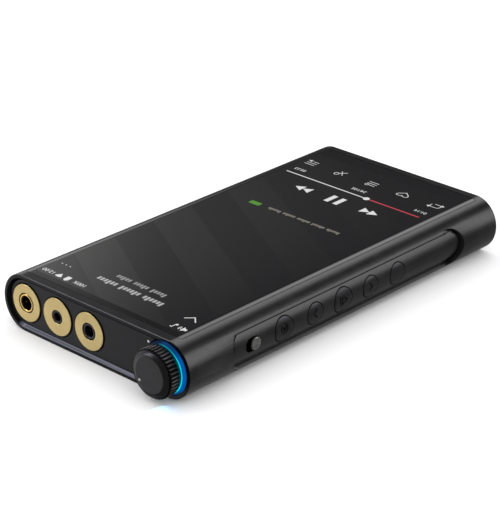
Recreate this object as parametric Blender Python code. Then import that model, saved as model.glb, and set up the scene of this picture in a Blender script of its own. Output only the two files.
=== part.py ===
"""Pocket digital audio player, modelled as separate named pieces.

Every dimension below is in millimetres; add_object() turns a finished bmesh into metres.
Frame: +X towards the button side, -Y towards the jack end, +Z up through the screen.
The origin is the centre of the flat back face.
"""

import math

import bmesh
import bpy
from mathutils import Vector

MM = 0.001

# ---- driving dimensions (mm) ----
WIDTH = 80.0
LENGTH = 146.0
THICK = 18.9
SIDE_DEPTH = 8.9            # how far the rounded side reaches outboard of the flat faces
GAP = 0.3                   # clearance between fixed neighbours
SEAM = 0.15                 # visible joint line between trim pieces

HALF_LENGTH = LENGTH / 2
MID_Z = THICK / 2
FLAT_HALF = WIDTH / 2 - SIDE_DEPTH
JACK_END = -HALF_LENGTH
USB_END = HALF_LENGTH

# cavity of the housing
CAVITY_HALF_WIDTH = 36.2
CAVITY_FLOOR = 1.8
CAVITY_CEILING = 17.1
CAVITY_RADIUS = 5.0

# end rims, chamfers and end plates
RIM_WIDTH = 1.2
RIM_CHAMFER = 0.8
PLATE_RECESS = 1.0
PLATE_THICK = 1.4
PLATE_INSET = RIM_WIDTH + RIM_CHAMFER
MOUTH_DEPTH = PLATE_RECESS + PLATE_THICK + GAP
REACH = 1.0                 # how far a cutter runs past the faces that it opens

# screen window and glass
WINDOW_HALF_WIDTH = 33.5
WINDOW_NEAR = JACK_END + 3.2
WINDOW_FAR = USB_END - 3.0
WINDOW_RADIUS = 1.2
GLASS_BOTTOM = 17.2

# display stack
PANEL_HALF_WIDTH = 31.3
PANEL_NEAR = -67.5
PANEL_FAR = 64.5
PANEL_BOTTOM = 15.8
PANEL_TOP = 16.9
PANEL_RADIUS = 1.0
DISPLAY_FRAME_HALF_WIDTH = 33.0
MID_FRAME_BOTTOM = 14.6
MID_FRAME_TOP = 15.5
BOARD_BOTTOM = 11.35
BOARD_TOP = 12.35

# rear cover
COVER_HALF_WIDTH = 29.0
COVER_HALF_LENGTH = 66.0
COVER_RADIUS = 5.0
COVER_THICK = 0.85
COVER_LEDGE = 2.0
COVER_SEAT_TOP = 1.0
COVER_OPENING_TOP = 3.0

# side pocket with the buttons
POCKET_NEAR = -54.4
POCKET_FAR = 55.3
POCKET_HALF_HEIGHT = 6.65
POCKET_NEAR_RADIUS = 4.8
POCKET_FAR_RADIUS = 6.4
POCKET_DEPTH = 1.6
POCKET_FLOOR_RADIUS = 9.5
POCKET_STEPS = 92           # steps round the floor's whole circle

# buttons: name, position along Y, cap diameter
BUTTONS = (
    ("power_button", -30.9, 8.2),
    ("previous_button", -16.7, 7.2),
    ("play_button", -3.7, 8.3),
    ("next_button", 9.5, 7.2),
    ("function_button", 22.7, 7.4),
)
BUTTON_GAP = 0.18
BUTTON_PROUD = 0.1
BUTTON_FLANGE_X = (35.0, 35.5)
BUTTON_FLANGE_WIDTH = 0.4
SWITCH_BOARD_X = (31.7, 32.5)
SWITCH_X = (32.8, 33.9, 34.4)   # back, shoulder and plunger tip
SWITCH_HALF = 2.2
PLUNGER_RADIUS = 1.0

# hold slider
SLOT_LENGTH = 6.4
SLOT_HEIGHT = 4.7
SLOT_CENTRE_Y = -44.5
SLIDER_RADIUS = 2.15
SLIDER_TIP_X = 39.0
SLIDER_EDGE = (0.45, 0.35)  # chamfer, across and along
SLIDER_PLAY = 0.1
SLIDER_TONGUE = (4.7, 4.8, 3.0)  # reach towards the jacks, towards the USB end, and half height
HOLD_SWITCH_HALF = (4.5, 2.0)
BUTTON_BOARD_HALF_HEIGHT = 3.4
BUTTON_BOARD_MARGIN = 5.0

# jacks: name, position along X, opening radius, nose radius, bezel bore radius
JACKS = (
    ("balanced_4_4", -30.5, 2.3, 3.0, 3.25),
    ("balanced_2_5", -16.555, 1.38, 2.05, 2.22),
    ("headphone_3_5", -2.61, 1.78, 2.58, 2.78),
)
BEZEL_RADIUS = 6.16
BEZEL_SPIGOT_RADIUS = 4.4
BEZEL_SPIGOT_LENGTH = 1.3
BEZEL_FRONT = JACK_END + 0.65
BEZEL_THICK = 0.7
BEZEL_EDGE = 0.15
BEZEL_PLAY = 0.2
JACK_BODY_HALF_WIDTH = 4.9
JACK_BODY_HALF_HEIGHT = 4.6
JACK_BODY_Y = (-70.0, -57.0)
SLEEVE_SEAT_DEPTH = 4.0
LED_CENTRE = (22.3, 14.95)
LED_RADIUS = 0.42
LED_HOLE_RADIUS = 0.5

# volume knob, on the axis of the rounded side
KNOB_X = 30.0
KNOB_RADIUS = 8.0
KNOB_RIDGES = 40
KNOB_RIDGE_DEPTH = 0.3
KNOB_FRONT = JACK_END - 5.25
KNOB_BACK = JACK_END - 1.6
CAP_FRONT = JACK_END - 6.35
CAP_BACK = JACK_END - 5.5
CAP_FACE_RADIUS = 5.65
CAP_BEVEL = (7.0, 0.4)      # radius, and how far behind the face
CAP_SHOULDER = (7.35, 0.6)
CAP_RADIUS = 7.45
SHAFT_RADIUS = 2.8
SHAFT_END = -66.8
LIGHT_RING_RADIUS = 8.5
LIGHT_RING_FRONT = (6.4, 7.85)  # inner and outer radius of its front face
LIGHT_RING_SEAT = 8.72
LIGHT_RING_Y = (JACK_END - 0.85, JACK_END + 0.05, JACK_END + 1.3)
SEAT_DEPTH = 1.5
ENCODER_HALF = 4.9
ENCODER_Y = (-69.9, -62.5)
BUSHING_RADIUS = 3.6
BUSHING_FRONT = JACK_END - 0.6
NUT_RADIUS = 5.6
NUT_Y = (-72.8, -71.5)
RING_BOARD_RADIUS = 7.1
RING_BOARD_Y = (-71.2, -70.5)

# far end
USB_HALF_WIDTH = 4.47
USB_HALF_HEIGHT = 1.58
USB_PLAY = 0.25
USB_WALL = 0.3
USB_LENGTH = 7.1
USB_HOLLOW = 6.4
TRAY_X = 20.0
TRAY_HALF_WIDTH = 6.8
TRAY_HALF_HEIGHT = 1.1
TRAY_RADIUS = 0.6
TRAY_LIP = 1.7
TRAY_END = 54.5
TRAY_TONGUE_HALF = (5.8, 0.5)
CARD_BED_Y = (55.5, 66.5)
CARD_BED_HALF_WIDTH = 5.0
READER_Y = (54.0, 69.3)
READER_HALF = (6.8, 1.2)
READER_WALL = (0.6, 0.35, 0.3)  # sides, top and bottom, back
END_SCREW_X = 33.2
END_SCREW_HEAD = 1.5
END_SCREW_SHANK = 0.7
END_SCREW_LENGTH = 5.4
SCREW_WELL_RADIUS = 1.75
SCREW_WELL_DEPTH = 0.7
BOSS_LENGTH = 9.0
BOSS_HALF_HEIGHT = 2.6
BOSS_WIDTH = 5.6
BOSS_HOLE = (1.0, 8.0)      # radius and depth

# inner pieces
MAIN_BOARD_X = (-33.5, 31.0)
MAIN_BOARD_Y = (-54.0, 61.0)
USB_TAB_HALF_WIDTH = 6.5
USB_TAB_END = 69.5
SHIELD_WALL = 0.4
STANDOFF_RADIUS = 2.2
STANDOFF_WALL = 1.2
SCREW_HEAD = (1.7, 1.1)     # board screws: head radius and height
SCREW_SHANK = 0.65
SCREW_ENGAGEMENT = 0.8
FRAME_PLATE_LOW = (-34.3, -55.0)
FRAME_PLATE_HIGH = (34.3, 68.5)
BATTERY_LOW = (-27.0, -26.0, 2.1)
BATTERY_HIGH = (25.5, 51.5, 9.5)
BATTERY_BOARD_LOW = (-24.0, -30.5, 6.0)
BATTERY_BOARD_HIGH = (22.0, -26.3, 7.0)
SMALL_RADIUS = 2.0          # corners of the frame plate and the battery

CURVE_STEPS = 24            # steps round a half turn of the body section
ROUND_STEPS = 32            # steps round a whole turned piece


# ---- materials ----
FINISHES = {
    "anodised_black": ((0.022, 0.022, 0.024), 0.38, 0.85),
    "screen_glass": ((0.004, 0.004, 0.005), 0.05, 0.0),
    "display": ((0.01, 0.01, 0.012), 0.2, 0.0),
    "black_plastic": ((0.012, 0.012, 0.013), 0.5, 0.0),
    "panel_black": ((0.015, 0.015, 0.018), 0.3, 0.2),
    "rear_glass": ((0.01, 0.01, 0.011), 0.12, 0.0),
    "gold": ((0.66, 0.5, 0.24), 0.32, 1.0),
    "knob_metal": ((0.03, 0.03, 0.032), 0.3, 0.9),
    "light_guide": ((0.02, 0.35, 0.85), 0.3, 0.0),
    "led_lens": ((0.75, 0.75, 0.72), 0.4, 0.0),
    "polished_steel": ((0.5, 0.5, 0.5), 0.2, 1.0),
    "steel": ((0.45, 0.45, 0.46), 0.35, 1.0),
    "brass": ((0.6, 0.45, 0.2), 0.35, 1.0),
    "circuit_board": ((0.01, 0.06, 0.03), 0.5, 0.0),
    "magnesium": ((0.2, 0.2, 0.21), 0.5, 1.0),
    "battery_wrap": ((0.05, 0.05, 0.055), 0.45, 0.0),
}


def make_materials():
    materials = {}
    for name, (colour, roughness, metallic) in FINISHES.items():
        material = bpy.data.materials.new(name)
        material.use_nodes = True
        shader = material.node_tree.nodes["Principled BSDF"]
        shader.inputs["Base Color"].default_value = (*colour, 1.0)
        shader.inputs["Roughness"].default_value = roughness
        shader.inputs["Metallic"].default_value = metallic
        materials[name] = material
    return materials


# ---- outlines: lists of 2D points, counter-clockwise ----
def arc(centre, radii, start, end, steps):
    """Points of an ellipse arc, angles in degrees, both ends included."""
    points = []
    for i in range(steps + 1):
        angle = math.radians(start + (end - start) * i / steps)
        points.append((centre[0] + radii[0] * math.cos(angle), centre[1] + radii[1] * math.sin(angle)))
    return points


def circle(centre, radius, steps=ROUND_STEPS):
    return arc(centre, (radius, radius), 0, 360, steps)[:-1]


def rounded_rectangle(low, high, radius, steps=6):
    (x0, y0), (x1, y1) = low, high
    r = (radius, radius)
    corners = (
        arc((x1 - radius, y0 + radius), r, -90, 0, steps),
        arc((x1 - radius, y1 - radius), r, 0, 90, steps),
        arc((x0 + radius, y1 - radius), r, 90, 180, steps),
        arc((x0 + radius, y0 + radius), r, 180, 270, steps),
    )
    return [point for corner in corners for point in corner]


def rectangle(low, high):
    return [(low[0], low[1]), (high[0], low[1]), (high[0], high[1]), (low[0], high[1])]


def body_section(inset=0.0, steps=CURVE_STEPS):
    """The player's obround section in X and Z, moved inwards by inset."""
    radii = (SIDE_DEPTH - inset, MID_Z - inset)
    right = arc((FLAT_HALF, MID_Z), radii, -90, 90, steps)
    left = arc((-FLAT_HALF, MID_Z), radii, 90, 270, steps)
    return right + left


def slot(centre, length, height, steps=8):
    """An obround with its long side along the first axis."""
    radius = height / 2
    half = length / 2 - radius
    right = arc((centre[0] + half, centre[1]), (radius, radius), -90, 90, steps)
    left = arc((centre[0] - half, centre[1]), (radius, radius), 90, 270, steps)
    return right + left


# ---- solids, drawn in millimetres ----
def place(point, along, axis):
    """A 2D point and a distance along an axis, as a 3D point."""
    u, v = point
    return {"X": (along, u, v), "Y": (u, along, v), "Z": (u, v, along)}[axis]


def prism(outline, axis, low, high, holes=()):
    """An outline, with any holes in it, extruded along an axis."""
    bm = bmesh.new()
    edges = []
    for loop in (outline, *holes):
        verts = [bm.verts.new(place(point, low, axis)) for point in loop]
        edges += [bm.edges.new((verts[i - 1], verts[i])) for i in range(len(verts))]
    if holes:
        bmesh.ops.triangle_fill(bm, use_beauty=True, use_dissolve=False, edges=edges)
    else:
        bmesh.ops.contextual_create(bm, geom=edges)
    grown = bmesh.ops.extrude_face_region(bm, geom=list(bm.faces))
    moved = [item for item in grown["geom"] if isinstance(item, bmesh.types.BMVert)]
    bmesh.ops.translate(bm, vec=place((0, 0), high - low, axis), verts=moved)
    bmesh.ops.recalc_face_normals(bm, faces=bm.faces)
    return bm


def box(low, high):
    return prism(rectangle(low[:2], high[:2]), "Z", low[2], high[2])


def loft(rings):
    """Rings of 3D points with equal counts, joined in order and capped."""
    bm = bmesh.new()
    loops = []
    for ring in rings:
        verts = [bm.verts.new(point) for point in ring]
        loops.append([bm.edges.new((verts[i - 1], verts[i])) for i in range(len(verts))])
    for first, second in zip(loops, loops[1:]):
        bmesh.ops.bridge_loops(bm, edges=first + second)
    for end in (loops[0], loops[-1]):
        bmesh.ops.contextual_create(bm, geom=end)
    bmesh.ops.recalc_face_normals(bm, faces=bm.faces)
    return bm


def turned(profile, centre, axis, steps=ROUND_STEPS):
    """A closed profile of (radius, distance along the axis) points, turned about the axis."""
    bm = bmesh.new()
    verts = [bm.verts.new(place((centre[0] + radius, centre[1]), along, axis)) for radius, along in profile]
    edges = [bm.edges.new((verts[i - 1], verts[i])) for i in range(len(verts))]
    bmesh.ops.spin(
        bm,
        geom=verts + edges,
        cent=place(centre, 0, axis),
        axis=place((0, 0), 1, axis),
        angle=math.tau,
        steps=steps,
        use_merge=True,
    )
    bmesh.ops.remove_doubles(bm, verts=bm.verts, dist=0.0001)
    bmesh.ops.recalc_face_normals(bm, faces=bm.faces)
    return bm


def rod(centre, radius, axis, low, high, steps=ROUND_STEPS):
    return prism(circle(centre, radius, steps), axis, low, high)


def hollow(bm, direction, wall, depth):
    """Sinks the face that looks along a direction, leaving a wall round it."""
    face = max(bm.faces, key=lambda f: f.normal.dot(Vector(direction)) * f.calc_area())
    bmesh.ops.inset_region(bm, faces=[face], thickness=wall)
    sunk = bmesh.ops.extrude_discrete_faces(bm, faces=[face])["faces"]
    verts = {vert for item in sunk for vert in item.verts}
    bmesh.ops.translate(bm, vec=-Vector(direction) * depth, verts=list(verts))
    return bm


# ---- objects ----
def add_object(name, bm, material=None, origin=(0, 0, 0)):
    """A bmesh in millimetres becomes an object in metres with its origin at the given point."""
    bmesh.ops.translate(bm, vec=-Vector(origin), verts=bm.verts)
    bmesh.ops.scale(bm, vec=(MM, MM, MM), verts=bm.verts)
    mesh = bpy.data.meshes.new(name)
    bm.to_mesh(mesh)
    bm.free()
    mesh.shade_smooth()
    mesh.set_sharp_from_angle(angle=math.radians(30))
    obj = bpy.data.objects.new(name, mesh)
    obj.location = Vector(origin) * MM
    bpy.context.scene.collection.objects.link(obj)
    if material:
        mesh.materials.append(material)
    return obj


def add_tool(name, bm):
    """A shape that only cuts, joins or trims others."""
    tool = add_object(name, bm)
    tool.hide_render = True
    tool.display_type = "WIRE"
    return tool


def combine(target, operation, tool):
    modifier = target.modifiers.new(tool.name, "BOOLEAN")
    modifier.operation = operation
    modifier.solver = "EXACT"
    modifier.object = tool


def cut(target, name, bm):
    combine(target, "DIFFERENCE", add_tool(name, bm))


def add_on(target, name, bm):
    combine(target, "UNION", add_tool(name, bm))


# ---- housing ----
def end_mouth(end, inwards):
    """The chamfered mouth and the seat of an end plate, as one cutter."""
    slope = RIM_CHAMFER / PLATE_RECESS
    stations = (
        (end - inwards * REACH, RIM_WIDTH - REACH * slope),
        (end + inwards * PLATE_RECESS, PLATE_INSET),
        (end + inwards * MOUTH_DEPTH, PLATE_INSET),
    )
    return loft([[(x, y, z) for x, z in body_section(inset)] for y, inset in stations])


def pocket_outline():
    """The side pocket's outline in Y and Z: tighter corners near the jacks, round at the far end."""
    low = MID_Z - POCKET_HALF_HEIGHT
    high = MID_Z + POCKET_HALF_HEIGHT
    near, far = POCKET_NEAR_RADIUS, POCKET_FAR_RADIUS
    return (
        arc((POCKET_FAR - far, low + far), (far, far), -90, 0, 8)
        + arc((POCKET_FAR - far, high - far), (far, far), 0, 90, 8)
        + arc((POCKET_NEAR + near, high - near), (near, near), 90, 180, 8)
        + arc((POCKET_NEAR + near, low + near), (near, near), 180, 270, 8)
    )


def pocket_floor(proud=0.0):
    """The rounded floor of the side pocket, as a long rod along Y."""
    centre = (WIDTH / 2 - POCKET_DEPTH - POCKET_FLOOR_RADIUS, MID_Z)
    return rod(centre, POCKET_FLOOR_RADIUS + proud, "Y", JACK_END, USB_END, POCKET_STEPS)


def make_housing(material):
    housing = add_object("main_housing", prism(body_section(), "Y", JACK_END, USB_END), material)
    cavity = rounded_rectangle(
        (-CAVITY_HALF_WIDTH, CAVITY_FLOOR), (CAVITY_HALF_WIDTH, CAVITY_CEILING), CAVITY_RADIUS
    )
    inner_ends = (JACK_END + MOUTH_DEPTH - SEAM, USB_END - MOUTH_DEPTH + SEAM)
    cut(housing, "cavity_tool", prism(cavity, "Y", *inner_ends))
    cut(housing, "jack_mouth_tool", end_mouth(JACK_END, 1))
    cut(housing, "usb_mouth_tool", end_mouth(USB_END, -1))
    window = rounded_rectangle(
        (-WINDOW_HALF_WIDTH, WINDOW_NEAR), (WINDOW_HALF_WIDTH, WINDOW_FAR), WINDOW_RADIUS
    )
    cut(housing, "window_tool", prism(window, "Z", MID_FRAME_TOP + SEAM, THICK + REACH))
    covers = (("cover_seat_tool", 0, COVER_SEAT_TOP), ("cover_window_tool", COVER_LEDGE, COVER_OPENING_TOP))
    for name, inset, top in covers:
        half = (COVER_HALF_WIDTH - inset, COVER_HALF_LENGTH - inset)
        opening = rounded_rectangle((-half[0], -half[1]), half, COVER_RADIUS - inset)
        cut(housing, name, prism(opening, "Z", -REACH, top))
    inner, outer = FLAT_HALF, WIDTH / 2 + REACH
    pocket = add_tool("pocket_tool", prism(pocket_outline(), "X", inner, outer))
    combine(pocket, "DIFFERENCE", add_tool("pocket_floor_tool", pocket_floor()))
    combine(housing, "DIFFERENCE", pocket)
    for name, y, diameter in BUTTONS:
        hole = rod((y, MID_Z), diameter / 2 + BUTTON_GAP, "X", inner, outer)
        cut(housing, name + "_hole_tool", hole)
    slider_slot = slot((SLOT_CENTRE_Y, MID_Z), SLOT_LENGTH, SLOT_HEIGHT)
    cut(housing, "slot_tool", prism(slider_slot, "X", inner, outer))
    seat = rod((KNOB_X, MID_Z), LIGHT_RING_SEAT, "Y", JACK_END - REACH, JACK_END + SEAT_DEPTH, 2 * ROUND_STEPS)
    cut(housing, "knob_seat_tool", seat)
    for side, x in (("left", -END_SCREW_X), ("right", END_SCREW_X)):
        wall = math.copysign(CAVITY_HALF_WIDTH + GAP, x)
        edge = wall - math.copysign(BOSS_WIDTH, x)
        low = (min(edge, wall), USB_END - BOSS_LENGTH, MID_Z - BOSS_HALF_HEIGHT)
        high = (max(edge, wall), USB_END - MOUTH_DEPTH, MID_Z + BOSS_HALF_HEIGHT)
        add_on(housing, f"{side}_boss_tool", box(low, high))
        radius, depth = BOSS_HOLE
        cut(housing, f"{side}_boss_hole_tool", rod((x, MID_Z), radius, "Y", USB_END - depth, USB_END, 12))
    return housing


# ---- screen ----
def make_screen(materials):
    plan = rounded_rectangle(
        (-WINDOW_HALF_WIDTH + SEAM, WINDOW_NEAR + SEAM),
        (WINDOW_HALF_WIDTH - SEAM, WINDOW_FAR - SEAM),
        WINDOW_RADIUS - SEAM,
    )
    glass = add_object("front_glass", prism(plan, "Z", GLASS_BOTTOM, THICK + REACH), materials["screen_glass"])
    envelope = prism(body_section(), "Y", JACK_END - REACH, USB_END + REACH)
    combine(glass, "INTERSECT", add_tool("glass_envelope_tool", envelope))

    low, high = (-PANEL_HALF_WIDTH, PANEL_NEAR), (PANEL_HALF_WIDTH, PANEL_FAR)
    panel = prism(rounded_rectangle(low, high, PANEL_RADIUS, 3), "Z", PANEL_BOTTOM, PANEL_TOP)
    add_object("display_panel", panel, materials["display"])

    half = DISPLAY_FRAME_HALF_WIDTH
    outer = rounded_rectangle((-half, WINDOW_NEAR + GAP), (half, WINDOW_FAR - GAP), PANEL_RADIUS, 3)
    inner = rounded_rectangle((low[0] - GAP, low[1] - GAP), (high[0] + GAP, high[1] + GAP), PANEL_RADIUS, 3)
    frame = prism(outer, "Z", PANEL_BOTTOM, PANEL_TOP, holes=[inner])
    add_object("display_frame", frame, materials["black_plastic"])


def make_rear_cover(material):
    half = (COVER_HALF_WIDTH - SEAM, COVER_HALF_LENGTH - SEAM)
    outline = rounded_rectangle((-half[0], -half[1]), half, COVER_RADIUS - SEAM)
    add_object("rear_cover", prism(outline, "Z", 0.0, COVER_THICK), material)


# ---- jack end ----
def make_jack_end_plate(materials):
    front = JACK_END + PLATE_RECESS
    back = front + PLATE_THICK
    outline = body_section(PLATE_INSET + SEAM)
    plate = add_object("jack_end_plate", prism(outline, "Y", front, back), materials["panel_black"])
    seat = rod((KNOB_X, MID_Z), LIGHT_RING_SEAT, "Y", front - REACH, back + REACH, 2 * ROUND_STEPS)
    cut(plate, "plate_knob_tool", seat)
    for name, x, *_ in JACKS:
        step = BEZEL_FRONT + BEZEL_THICK + BEZEL_PLAY
        profile = [
            (0, front - REACH),
            (BEZEL_RADIUS + BEZEL_PLAY, front - REACH),
            (BEZEL_RADIUS + BEZEL_PLAY, step),
            (BEZEL_SPIGOT_RADIUS + GAP, step),
            (BEZEL_SPIGOT_RADIUS + GAP, back + REACH),
            (0, back + REACH),
        ]
        cut(plate, name + "_seat_tool", turned(profile, (x, MID_Z), "Y", 40))
    cut(plate, "led_hole_tool", rod(LED_CENTRE, LED_HOLE_RADIUS, "Y", front - REACH, back + REACH, 12))
    lens = rod(LED_CENTRE, LED_RADIUS, "Y", front - SEAM / 3, back + 2 * GAP, 12)
    add_object("status_led", lens, materials["led_lens"])


def make_jacks(materials):
    back = BEZEL_FRONT + BEZEL_THICK
    start, end = JACK_BODY_Y
    for name, x, bore, nose, ring_bore in JACKS:
        ring = [
            (ring_bore, back + BEZEL_SPIGOT_LENGTH),
            (ring_bore, BEZEL_FRONT + BEZEL_EDGE),
            (ring_bore + BEZEL_EDGE, BEZEL_FRONT),
            (BEZEL_RADIUS - BEZEL_EDGE, BEZEL_FRONT),
            (BEZEL_RADIUS, BEZEL_FRONT + BEZEL_EDGE),
            (BEZEL_RADIUS, back),
            (BEZEL_SPIGOT_RADIUS, back),
            (BEZEL_SPIGOT_RADIUS, back + BEZEL_SPIGOT_LENGTH),
        ]
        add_object(f"bezel_{name}", turned(ring, (x, MID_Z), "Y", 40), materials["gold"])
        low = (x - JACK_BODY_HALF_WIDTH, start, MID_Z - JACK_BODY_HALF_HEIGHT)
        high = (x + JACK_BODY_HALF_WIDTH, end, MID_Z + JACK_BODY_HALF_HEIGHT)
        jack = add_object(f"jack_{name}", box(low, high), materials["black_plastic"])
        if name == "balanced_4_4":
            sleeve_seat = rod((x, MID_Z), ring_bore, "Y", start - REACH, start + SLEEVE_SEAT_DEPTH)
            cut(jack, name + "_sleeve_seat_tool", sleeve_seat)
            sleeve = prism(circle((x, MID_Z), nose), "Y", BEZEL_FRONT, start + SLEEVE_SEAT_DEPTH - GAP,
                           holes=[circle((x, MID_Z), bore)])
            add_object("sleeve_balanced_4_4", sleeve, materials["gold"])
        else:
            snout = rod((x, MID_Z), nose, "Y", BEZEL_FRONT + BEZEL_EDGE, start + REACH)
            add_on(jack, name + "_nose_tool", snout)
        hole = rod((x, MID_Z), bore, "Y", JACK_END - REACH, end - REACH, 24)
        cut(jack, name + "_bore_tool", hole)


# ---- volume knob ----
def knob_outline(radius, depth):
    """A toothed circle: flat-topped ridges with narrow grooves between them."""
    points = []
    pitch = math.tau / KNOB_RIDGES
    for i in range(KNOB_RIDGES):
        for share, r in ((0.0, radius), (0.55, radius), (0.68, radius - depth), (0.87, radius - depth)):
            angle = (i + share) * pitch
            points.append((KNOB_X + r * math.cos(angle), MID_Z + r * math.sin(angle)))
    return points


def make_knob(materials):
    axis_point = (KNOB_X, MID_Z)
    origin = (KNOB_X, KNOB_BACK, MID_Z)
    ridged = prism(knob_outline(KNOB_RADIUS, KNOB_RIDGE_DEPTH), "Y", KNOB_FRONT, KNOB_BACK,
                   holes=[circle(axis_point, SHAFT_RADIUS + GAP, 24)])
    add_object("volume_knob", ridged, materials["knob_metal"], origin)

    cap = [
        (0, CAP_FRONT),
        (CAP_FACE_RADIUS, CAP_FRONT),
        (CAP_BEVEL[0], CAP_FRONT + CAP_BEVEL[1]),
        (CAP_SHOULDER[0], CAP_FRONT + CAP_SHOULDER[1]),
        (CAP_RADIUS, CAP_BACK),
        (0, CAP_BACK),
    ]
    add_object("knob_cap", turned(cap, axis_point, "Y", 48), materials["knob_metal"], origin)
    shaft = rod(axis_point, SHAFT_RADIUS, "Y", CAP_BACK + GAP, SHAFT_END, 24)
    add_object("knob_shaft", shaft, materials["steel"], origin)
    make_encoder(axis_point, materials)
    make_light_ring(axis_point, materials)


def make_encoder(axis_point, materials):
    front, back = ENCODER_Y
    low = (KNOB_X - ENCODER_HALF, front, MID_Z - ENCODER_HALF)
    high = (KNOB_X + ENCODER_HALF, back, MID_Z + ENCODER_HALF)
    encoder = add_object("encoder", box(low, high), materials["steel"])
    add_on(encoder, "bushing_tool", rod(axis_point, BUSHING_RADIUS, "Y", BUSHING_FRONT, front + REACH, 24))
    bore = rod(axis_point, SHAFT_RADIUS + GAP, "Y", BUSHING_FRONT - REACH, SHAFT_END + GAP, 24)
    cut(encoder, "encoder_bore_tool", bore)
    nut = prism(circle(axis_point, NUT_RADIUS, 6), "Y", *NUT_Y,
                holes=[circle(axis_point, BUSHING_RADIUS + GAP, 24)])
    add_object("encoder_nut", nut, materials["steel"])


def make_light_ring(axis_point, materials):
    inner, outer = LIGHT_RING_FRONT
    front, shoulder, back = LIGHT_RING_Y
    ring = [
        (inner, back),
        (inner, front),
        (outer, front),
        (LIGHT_RING_RADIUS, shoulder),
        (LIGHT_RING_RADIUS, back),
    ]
    add_object("light_ring", turned(ring, axis_point, "Y", 2 * ROUND_STEPS), materials["light_guide"])
    board = prism(circle(axis_point, RING_BOARD_RADIUS), "Y", *RING_BOARD_Y,
                  holes=[circle(axis_point, BUSHING_RADIUS + GAP, 24)])
    add_object("light_ring_board", board, materials["circuit_board"])


# ---- buttons and hold slider ----
def make_buttons(materials):
    face = add_tool("button_face_tool", pocket_floor(BUTTON_PROUD))
    for name, y, diameter in BUTTONS:
        radius = diameter / 2
        back, front = BUTTON_FLANGE_X
        profile = [
            (0, back),
            (radius + BUTTON_FLANGE_WIDTH, back),
            (radius + BUTTON_FLANGE_WIDTH, front),
            (radius, front),
            (radius, WIDTH / 2),
            (0, WIDTH / 2),
        ]
        origin = (back, y, MID_Z)
        button = add_object(name, turned(profile, (y, MID_Z), "X"), materials["anodised_black"], origin)
        combine(button, "INTERSECT", face)
        base, shoulder, tip = SWITCH_X
        low = (base, y - SWITCH_HALF, MID_Z - SWITCH_HALF)
        high = (shoulder, y + SWITCH_HALF, MID_Z + SWITCH_HALF)
        switch = add_object(name.replace("button", "switch"), box(low, high), materials["steel"])
        add_on(switch, name + "_plunger_tool", rod((y, MID_Z), PLUNGER_RADIUS, "X", base + GAP, tip, 16))
    low = (SLOT_CENTRE_Y - BUTTON_BOARD_MARGIN, MID_Z - BUTTON_BOARD_HALF_HEIGHT)
    high = (BUTTONS[-1][1] + BUTTON_BOARD_MARGIN, MID_Z + BUTTON_BOARD_HALF_HEIGHT)
    board = prism(rounded_rectangle(low, high, 1.0, 3), "X", *SWITCH_BOARD_X)
    add_object("button_board", board, materials["circuit_board"])


def make_hold_slider(materials):
    far_end = SLOT_CENTRE_Y + SLOT_LENGTH / 2
    y = far_end - SLIDER_RADIUS - SLIDER_PLAY
    back, front = BUTTON_FLANGE_X
    origin = (back, y, MID_Z)
    head = [
        (0, front - GAP),
        (SLIDER_RADIUS, front - GAP),
        (SLIDER_RADIUS, SLIDER_TIP_X - SLIDER_EDGE[1]),
        (SLIDER_RADIUS - SLIDER_EDGE[0], SLIDER_TIP_X),
        (0, SLIDER_TIP_X),
    ]
    slider = add_object("hold_slider", turned(head, (y, MID_Z), "X", 24), materials["polished_steel"], origin)
    near, far, half = SLIDER_TONGUE
    add_on(slider, "slider_tongue_tool", box((back, y - near, MID_Z - half), (front, y + far, MID_Z + half)))
    base, _, tip = SWITCH_X
    half_length, half_height = HOLD_SWITCH_HALF
    low = (base, SLOT_CENTRE_Y - half_length, MID_Z - half_height)
    high = (tip, SLOT_CENTRE_Y + half_length, MID_Z + half_height)
    add_object("hold_switch", box(low, high), materials["steel"])


# ---- far end ----
def tray_outline(grow=0.0):
    low = (TRAY_X - TRAY_HALF_WIDTH - grow, MID_Z - TRAY_HALF_HEIGHT - grow)
    high = (TRAY_X + TRAY_HALF_WIDTH + grow, MID_Z + TRAY_HALF_HEIGHT + grow)
    return rounded_rectangle(low, high, TRAY_RADIUS + grow, 3)


def make_usb_end(materials):
    back = USB_END - PLATE_RECESS - PLATE_THICK
    front = USB_END - PLATE_RECESS
    outline = body_section(PLATE_INSET + SEAM)
    plate = add_object("usb_end_plate", prism(outline, "Y", back, front), materials["panel_black"])
    width, height = 2 * USB_HALF_WIDTH, 2 * USB_HALF_HEIGHT
    mouth = slot((0, MID_Z), width + 2 * USB_PLAY, height + 2 * USB_PLAY)
    cut(plate, "usb_mouth_hole_tool", prism(mouth, "Y", back - REACH, front + REACH))
    cut(plate, "tray_mouth_tool", prism(tray_outline(SEAM), "Y", back - REACH, front + REACH))
    for i, x in enumerate((-END_SCREW_X, END_SCREW_X), start=1):
        make_end_screw(i, x, plate, materials)
    shell = prism(slot((0, MID_Z), width, height), "Y", front - USB_LENGTH - GAP, front - GAP)
    add_object("usb_socket", hollow(shell, (0, 1, 0), USB_WALL, USB_HOLLOW), materials["steel"])


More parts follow.
